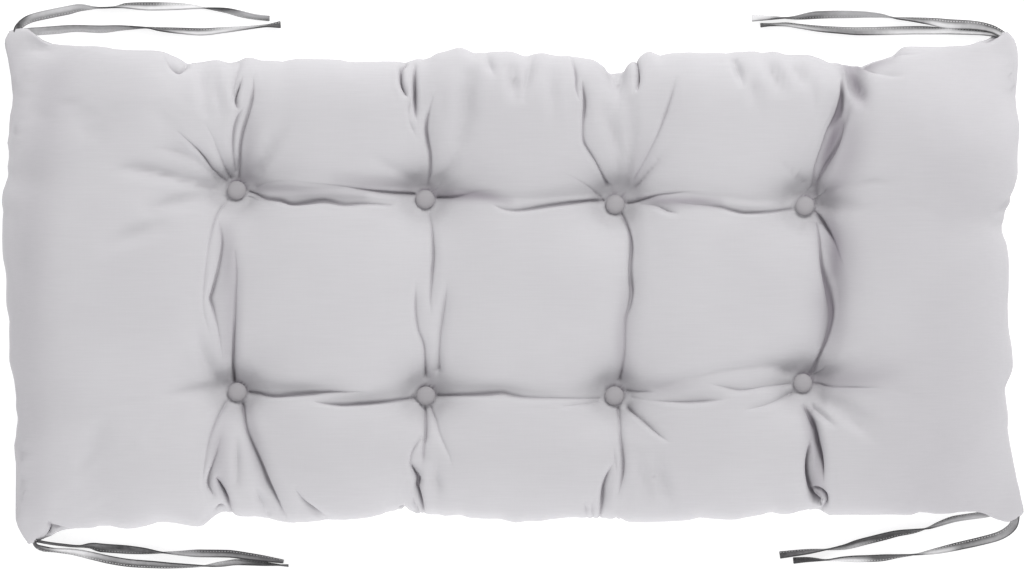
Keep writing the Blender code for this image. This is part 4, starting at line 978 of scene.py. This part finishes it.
TIES = {name: [TiePoint(*row) for row in rows] for name, rows in (
    ("tie_far_left_outer", (
        (-497, 250, 62, 7), (-496.6, 256, 58, 7), (-493, 260.8, 46, 5), (-488, 264.8, 38, 3),
        (-481, 268, 32, 1), (-462, 272.5, 26, 0), (-447, 275.5, 26, 0), (-431, 278.5, 50, 0),
        (-415, 278.2, 88, 0), (-399, 278.8, 96, 0), (-387, 280.2, 122, 0), (-362, 279.6, 148, 0),
        (-342, 279.6, 140, 0), (-322, 279.2, 118, 0), (-309, 278, 94, 0), (-287, 275.5, 64, 0),
        (-272, 272, 52, 0), (-257, 269, 60, 0), (-243, 267.5, 62, 0))),
    ("tie_far_left_inner", (
        (-492, 253, 36, 7), (-483, 254, 36, 7), (-472, 254.8, 36, 4), (-457, 256, 36, 1),
        (-437, 257.5, 48, 0), (-412, 256.7, 42, 0), (-392, 258, 62, 0), (-368, 258.3, 90, 0),
        (-352, 256.5, 112, 0), (-332, 255, 128, 0), (-312, 254, 136, 0), (-287, 256, 124, 0),
        (-267, 258, 110, 0), (-248, 260, 102, 0), (-232, 261.3, 134, 0))),
    ("tie_far_right_outer", (
        (494, 249.5, 45, 7), (488, 253.5, 45, 7), (481, 256.8, 36, 5), (470, 259.6, 28, 2),
        (458, 261, 20, 1), (438, 262, 8, 0), (418, 264.5, 46, 0), (398, 266.5, 70, 0), (386, 267.5, 82, 0),
        (368, 270.5, 112, 0), (348, 271.5, 130, 0), (333, 271.5, 138, 0), (308, 271, 138, 0),
        (277, 267.8, 94, 0), (258, 268, 66, 0), (240.5, 267.7, 46, 0))),
    ("tie_far_right_inner", (
        (493, 248, 50, 7), (484, 251, 60, 7), (473, 252.6, 62, 4), (457, 253.8, 55, 1), (438, 254.6, 50, 0),
        (408, 255.5, 32, 0), (378, 255, 32, 0), (348, 254.5, 36, 0), (328, 255.5, 46, 0), (308, 257, 53, 0),
        (288, 259.5, 64, 0), (273, 261.3, 70, 0), (260, 261, 76, 0), (249, 260.5, 66, 0))),
    ("tie_near_left_outer", (
        (-479.5, -255.5, 70, 6), (-477.4, -261, 68, 6), (-470, -264.3, 58, 4), (-459, -265.8, 66, 2),
        (-442, -267.5, 54, 0), (-422, -271.5, 36, 0), (-402, -276, 32, 0), (-382, -279, 36, 0),
        (-362, -280.3, 42, 0), (-337, -281.5, 60, 0), (-312, -281.7, 84, 0), (-292, -280, 118, 0),
        (-275, -278, 124, 0), (-250, -279.5, 110, 0), (-224, -281.5, 78, 0))),
    ("tie_near_left_inner", (
        (-482, -254.5, 60, 6), (-471, -257.5, 78, 7), (-452, -260.4, 78, 3), (-434, -262, 80, 0),
        (-424, -261.5, 60, 0), (-412, -263.6, 26, 0), (-392, -265, 26, 0), (-372, -266.5, 46, 0),
        (-350, -268.3, 88, 0), (-332, -269, 114, 0), (-312, -269.2, 138, 0), (-287, -269.5, 138, 0),
        (-262, -272.5, 132, 0), (-229, -277.3, 106, 0))),
    ("tie_near_right_outer", (
        (505.5, -226, 45, 7), (505, -233, 42, 7), (503.3, -240, 32, 5), (497.3, -246.8, 28, 3),
        (488, -252, 28, 1), (473, -256.3, 30, 0), (448, -262, 37, 0), (428, -266.5, 54, 0),
        (406, -270.3, 88, 0), (388, -272, 108, 0), (368, -274, 134, 0), (348, -274.8, 134, 0),
        (333, -275, 120, 0), (316, -276, 94, 0), (298, -275.5, 66, 0), (282, -276.5, 54, 0))),
    ("tie_near_right_inner", (
        (486, -226.5, 45, 7), (474, -230, 50, 7), (458, -232.4, 54, 4), (443, -235, 54, 1),
        (428, -240, 66, 0), (418, -243.8, 84, 0), (403, -247, 114, 0), (388, -249, 128, 0),
        (373, -252.5, 138, 0), (348, -258.8, 138, 0), (333, -263, 120, 0), (317, -265.3, 94, 0),
        (293, -268, 60, 0), (268.5, -271, 46, 0))),
)}

# Painted light and shade along each tape, from 0 for shade to 1 for light, for how light falls on its turns:
# x, the painted tone at its far edge and at its near one.
TIE_PAINTED_LIGHT_AND_SHADE = {
    "tie_far_left_outer": (
        (-500, 0.3, 0.3), (-495, 0.1, 0.15), (-488, 0.35, 0.6), (-480, 0.75, 0.5), (-445, 0.9, 0.5),
        (-425, 0.95, 0.6), (-414, 0.6, 0.3), (-408, 0.1, 0.3), (-395, 0.05, 0.5), (-380, 0.1, 0.7),
        (-360, 0.2, 0.9), (-345, 0.6, 1.0), (-320, 0.8, 1.0), (-310, 0.6, 0.8), (-303, 0.1, 0.3),
        (-290, 0.1, 0.45), (-280, 0.4, 0.7), (-268, 0.85, 0.6), (-250, 0.9, 0.4), (-242, 0.8, 0.3)),
    "tie_far_left_inner": (
        (-490, 0.7, 0.8), (-470, 0.6, 0.9), (-440, 0.55, 0.95), (-405, 0.6, 0.85), (-385, 0.5, 0.5),
        (-375, 0.1, 0.3), (-350, 0.05, 0.2), (-340, 0.1, 0.5), (-325, 0.1, 0.8), (-305, 0.3, 0.95),
        (-290, 0.7, 0.9), (-270, 0.95, 0.6), (-255, 0.95, 0.4), (-248, 0.6, 0.2), (-243, 0.1, 0.05),
        (-232, 0.15, 0.1)),
    "tie_far_right_outer": (
        (240, 0.9, 0.8), (258, 0.85, 0.5), (266, 0.5, 0.1), (275, 0.6, 0.15), (290, 0.65, 0.2),
        (305, 0.6, 0.25), (315, 0.6, 0.5), (330, 0.85, 0.7), (360, 0.9, 0.85), (378, 0.8, 0.8),
        (385, 0.1, 0.4), (400, 0.05, 0.3), (412, 0.1, 0.35), (425, 0.3, 0.8), (440, 0.35, 0.9),
        (452, 0.3, 0.6), (465, 0.35, 0.5), (478, 0.15, 0.45), (488, 0.05, 0.6), (496, 0.2, 0.6)),
    "tie_far_right_inner": (
        (249, 0.2, 0.1), (258, 0.3, 0.15), (268, 0.5, 0.6), (280, 0.15, 0.8), (300, 0.2, 0.6),
        (320, 0.3, 0.35), (345, 0.45, 0.3), (365, 0.5, 0.5), (385, 0.45, 0.85), (420, 0.4, 0.9),
        (440, 0.6, 0.7), (450, 0.15, 0.7), (465, 0.0, 0.7), (480, 0.0, 0.5), (486, 0.0, 0.1)),
    "tie_near_left_outer": (
        (-484, 0.1, 0.1), (-475, 0.1, 0.0), (-465, 0.35, 0.0), (-455, 0.8, 0.1), (-445, 0.9, 0.4),
        (-430, 0.9, 0.6), (-418, 0.6, 0.3), (-400, 0.4, 0.15), (-380, 0.45, 0.05), (-340, 0.25, 0.05),
        (-318, 0.2, 0.1), (-308, 0.5, 0.3), (-295, 0.9, 0.5), (-275, 0.9, 0.5), (-262, 0.5, 0.2),
        (-245, 0.2, 0.05), (-224, 0.05, 0.0)),
    "tie_near_left_inner": (
        (-474, 0.05, 0.1), (-440, 0.1, 0.15), (-428, 0.1, 0.15), (-415, 0.3, 0.2), (-395, 0.1, 0.35),
        (-378, 0.2, 0.3), (-360, 0.1, 0.1), (-350, 0.2, 0.3), (-340, 0.6, 0.7), (-322, 0.5, 0.7),
        (-310, 0.2, 0.6), (-290, 0.1, 0.45), (-260, 0.15, 0.3), (-228, 0.2, 0.1)),
    "tie_near_right_outer": (
        (282, 0.0, 0.0), (305, 0.05, 0.0), (314, 0.3, 0.3), (322, 0.4, 0.95), (345, 0.3, 1.0),
        (356, 0.2, 0.6), (363, 0.05, 0.2), (398, 0.1, 0.1), (408, 0.3, 0.5), (420, 0.4, 0.95),
        (438, 0.2, 0.8), (450, 0.15, 0.3), (468, 0.15, 0.4), (485, 0.3, 0.5), (497, 0.5, 0.45),
        (505, 0.6, 0.3)),
    "tie_near_right_inner": (
        (268, 0.1, 0.15), (288, 0.15, 0.2), (305, 0.05, 0.3), (318, 0.1, 0.4), (325, 0.1, 0.8),
        (345, 0.1, 0.9), (358, 0.1, 0.5), (366, 0.05, 0.2), (395, 0.1, 0.15), (412, 0.0, 0.2),
        (425, 0.1, 0.6), (440, 0.15, 0.8), (458, 0.4, 0.9), (475, 0.7, 0.9), (486, 0.8, 0.9)),
}


def through_rows(table, places):
    """Second column of a table at some places in its first, on a smooth curve with no overshoot."""
    rows = np.array(table, dtype=float)
    knots = rows[:, 0]
    values = rows[:, 1]
    widths = np.diff(knots)
    slopes = np.diff(values) / widths
    tangents = np.zeros(len(knots))
    same_way = slopes[:-1] * slopes[1:] > 0
    sums = np.where(same_way, slopes[:-1] + slopes[1:], 1.0)
    tangents[1:-1] = np.where(same_way, 2 * slopes[:-1] * slopes[1:] / sums, 0.0)
    tangents[0] = slopes[0]
    tangents[-1] = slopes[-1]
    span = np.clip(np.searchsorted(knots, places, side="right") - 1, 0, len(widths) - 1)
    width = widths[span]
    share = (places - knots[span]) / width
    rest = 1 - share
    return (rest * rest * (1 + 2 * share) * values[span]
            + share * rest * rest * width * tangents[span]
            + share * share * (3 - 2 * share) * values[span + 1]
            - share * share * rest * width * tangents[span + 1])


def lay_tape(piece, points):
    """Lays a flat unit grid along a tape's route, with its roll, its lift and a slight cup across.

    Returns which edge each point is near, as seen from above: 1 at the far edge and -1 at the near one.
    """
    rows = np.array(points, dtype=float)
    runs = np.hypot(np.diff(rows[:, 0]), np.diff(rows[:, 1]))
    along = np.concatenate(([0.0], np.cumsum(runs)))
    grid = points_of(piece.data) * MM
    places = (grid[:, 0] + 0.5) * along[-1]
    across = grid[:, 1] * 2.0
    columns = [np.column_stack((along, rows[:, column])) for column in range(4)]
    x, y, roll, lift = (through_rows(column, places) for column in columns)
    ahead = [through_rows(column, np.minimum(places + 1.0, along[-1])) for column in columns[:2]]
    behind = [through_rows(column, np.maximum(places - 1.0, 0.0)) for column in columns[:2]]
    heading = np.arctan2(ahead[1] - behind[1], ahead[0] - behind[0])
    turn = np.radians(roll)
    side = np.column_stack((-np.sin(heading), np.cos(heading), np.zeros(len(x))))
    up = np.array((0.0, 0.0, 1.0))
    half_width = (TIE_WIDTH - TIE_THICKNESS * TIE_EDGE_SHARE) / 2
    wide = (side * np.cos(turn)[:, None] + up * np.sin(turn)[:, None]) * half_width
    thick = (up * np.cos(turn)[:, None] - side * np.sin(turn)[:, None]) * TIE_THICKNESS / 2
    height = lift + np.abs(wide[:, 2]) + np.abs(thick[:, 2])
    middle = np.column_stack((x, y, height))
    cupped = thick * (TIE_CUP / TIE_THICKNESS * (1.0 - across ** 2))[:, None]
    move_points(piece.data, middle + wide * across[:, None] + cupped)
    return np.clip(across * np.cos(turn) * np.cos(heading) * EDGE_SHARE_GAIN, -1.0, 1.0)


def tape_cotton_with_painted_light(name):
    """Tape of the cover's cotton: painted light and shade from the table, a row of stitches near one edge,
    fine weave.
    """
    material, shader, tree = new_material(name)
    place = tree.node("ShaderNodeTexCoord", None, None, "Object")
    flat = tree.node("ShaderNodeUVMap", {"uv_map": "UVMap"})
    axes = tree.node("ShaderNodeSeparateXYZ", None, {0: flat}).socket.node.outputs
    run, side = Wire(tree.tree, axes[0]), Wire(tree.tree, axes[1])
    beside = tree.math("ABSOLUTE", side - STITCH_INSET)
    in_row = tree.math("LESS_THAN", beside, STITCH_WIDTH / 2)
    beat = tree.math("FRACT", run * (1.0 / STITCH_PITCH))
    stitch = in_row * tree.math("LESS_THAN", beat, STITCH_LENGTH / STITCH_PITCH)
    dented = tree.math("EXPONENT", beside * beside * -1.5)
    tone_and_painted_light = tree.node("ShaderNodeAttribute", {"attribute_name": "tone_and_painted_light"}, None, "Fac")
    mottle = tree.node("ShaderNodeTexNoise", None, {"Vector": place, "Scale": 220.0, "Detail": 3.0})
    edge_away = tree.math("MINIMUM", side, TIE_WIDTH - side)
    at_edge = tree.math("LESS_THAN", edge_away, EDGE_BAND)
    # Painted shade darkens the stitch dent and a band along each edge; the table's painted light and shade
    # sets the rest.
    mixed = tone_and_painted_light + (mottle - 0.5) * 0.25 - dented * 0.15 - at_edge * EDGE_PAINTED_SHADE
    colour = tree.node("ShaderNodeMix", {"data_type": "RGBA"},
                       {"Factor": mixed, "A": TIE_PAINTED_SHADE_COLOUR, "B": TIE_PAINTED_LIGHT_COLOUR}, 2)
    colour = tree.node("ShaderNodeMix", {"data_type": "RGBA"},
                       {"Factor": stitch * 0.6, "A": colour, "B": THREAD_WHITE}, 2)
    tree.tree.links.new(colour.socket, shader.inputs["Base Color"])
    beats = 2 * math.pi / TAPE_THREAD_PITCH
    weave = tree.math("SINE", run * beats) * tree.math("SINE", side * beats)
    bump = tree.node("ShaderNodeBump", None, {"Strength": 0.6, "Distance": 0.0002,
                                              "Height": weave * 0.12 + stitch - dented})
    tree.tree.links.new(bump.socket, shader.inputs["Normal"])
    shader.inputs["Roughness"].default_value = 0.7
    shader.inputs["Specular IOR Level"].default_value = 0.4
    shader.inputs["Sheen Weight"].default_value = 0.06
    return material


tie_cotton_painted_light = tape_cotton_with_painted_light("tie_cotton_painted_light")
for tie_name, tie_points in TIES.items():
    route_length = sum(math.hypot(b.x - a.x, b.y - a.y) for a, b in zip(tie_points, tie_points[1:]))
    deselect_all()
    bpy.ops.mesh.primitive_grid_add(x_subdivisions=int(route_length / TIE_STEP),
                                    y_subdivisions=TIE_CROSS_CUTS, size=1.0)
    tape = bpy.context.object
    tape.name = "tape_" + tie_name
    flat_uv = np.zeros(len(tape.data.loops) * 2)
    tape.data.uv_layers.active.data.foreach_get("uv", flat_uv)
    flat_uv[0::2] *= route_length
    flat_uv[1::2] *= TIE_WIDTH
    tape.data.uv_layers.active.data.foreach_set("uv", flat_uv)
    far_edge = tape.data.attributes.new("far_edge", "FLOAT", "POINT")
    far_edge.data.foreach_set("value", lay_tape(tape, tie_points))
    doubled = tape.modifiers.new("folded_cloth", "SOLIDIFY")
    doubled.thickness = TIE_THICKNESS * MM
    doubled.offset = 0.0
    bpy.ops.object.modifier_apply(modifier=doubled.name)
    rounding = tape.modifiers.new("soft_edges", "BEVEL")
    rounding.width = EDGE_ROUNDING * MM
    rounding.segments = 2
    rounding.limit_method = "ANGLE"
    rounding.angle_limit = math.radians(60)
    bpy.ops.object.modifier_apply(modifier=rounding.name)
    bpy.ops.object.shade_smooth()
    # Painted light and shade along the tape, from the table.
    painted_light_layer = tape.data.attributes.new("tone_and_painted_light", "FLOAT", "POINT")
    share = np.zeros(len(tape.data.vertices))
    tape.data.attributes["far_edge"].data.foreach_get("value", share)
    at_x, far_painted_light, near_painted_light = np.array(TIE_PAINTED_LIGHT_AND_SHADE[tie_name]).T
    tape_x = points_of(tape.data)[:, 0]
    far_painted_light, near_painted_light = (np.interp(tape_x, at_x, edge) for edge in (far_painted_light, near_painted_light))
    tone_and_painted_light = near_painted_light + (far_painted_light - near_painted_light) * (share + 1.0) / 2
    spread = (tone_and_painted_light - PAINTED_LIGHT_MIDDLE) * PAINTED_LIGHT_SPREAD + PAINTED_LIGHT_MIDDLE
    painted_light_layer.data.foreach_set("value", np.clip(spread, 0.0, 1.0))
    tape.data.materials.append(tie_cotton_painted_light)
    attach(tape, "root")
    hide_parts(tie_name)
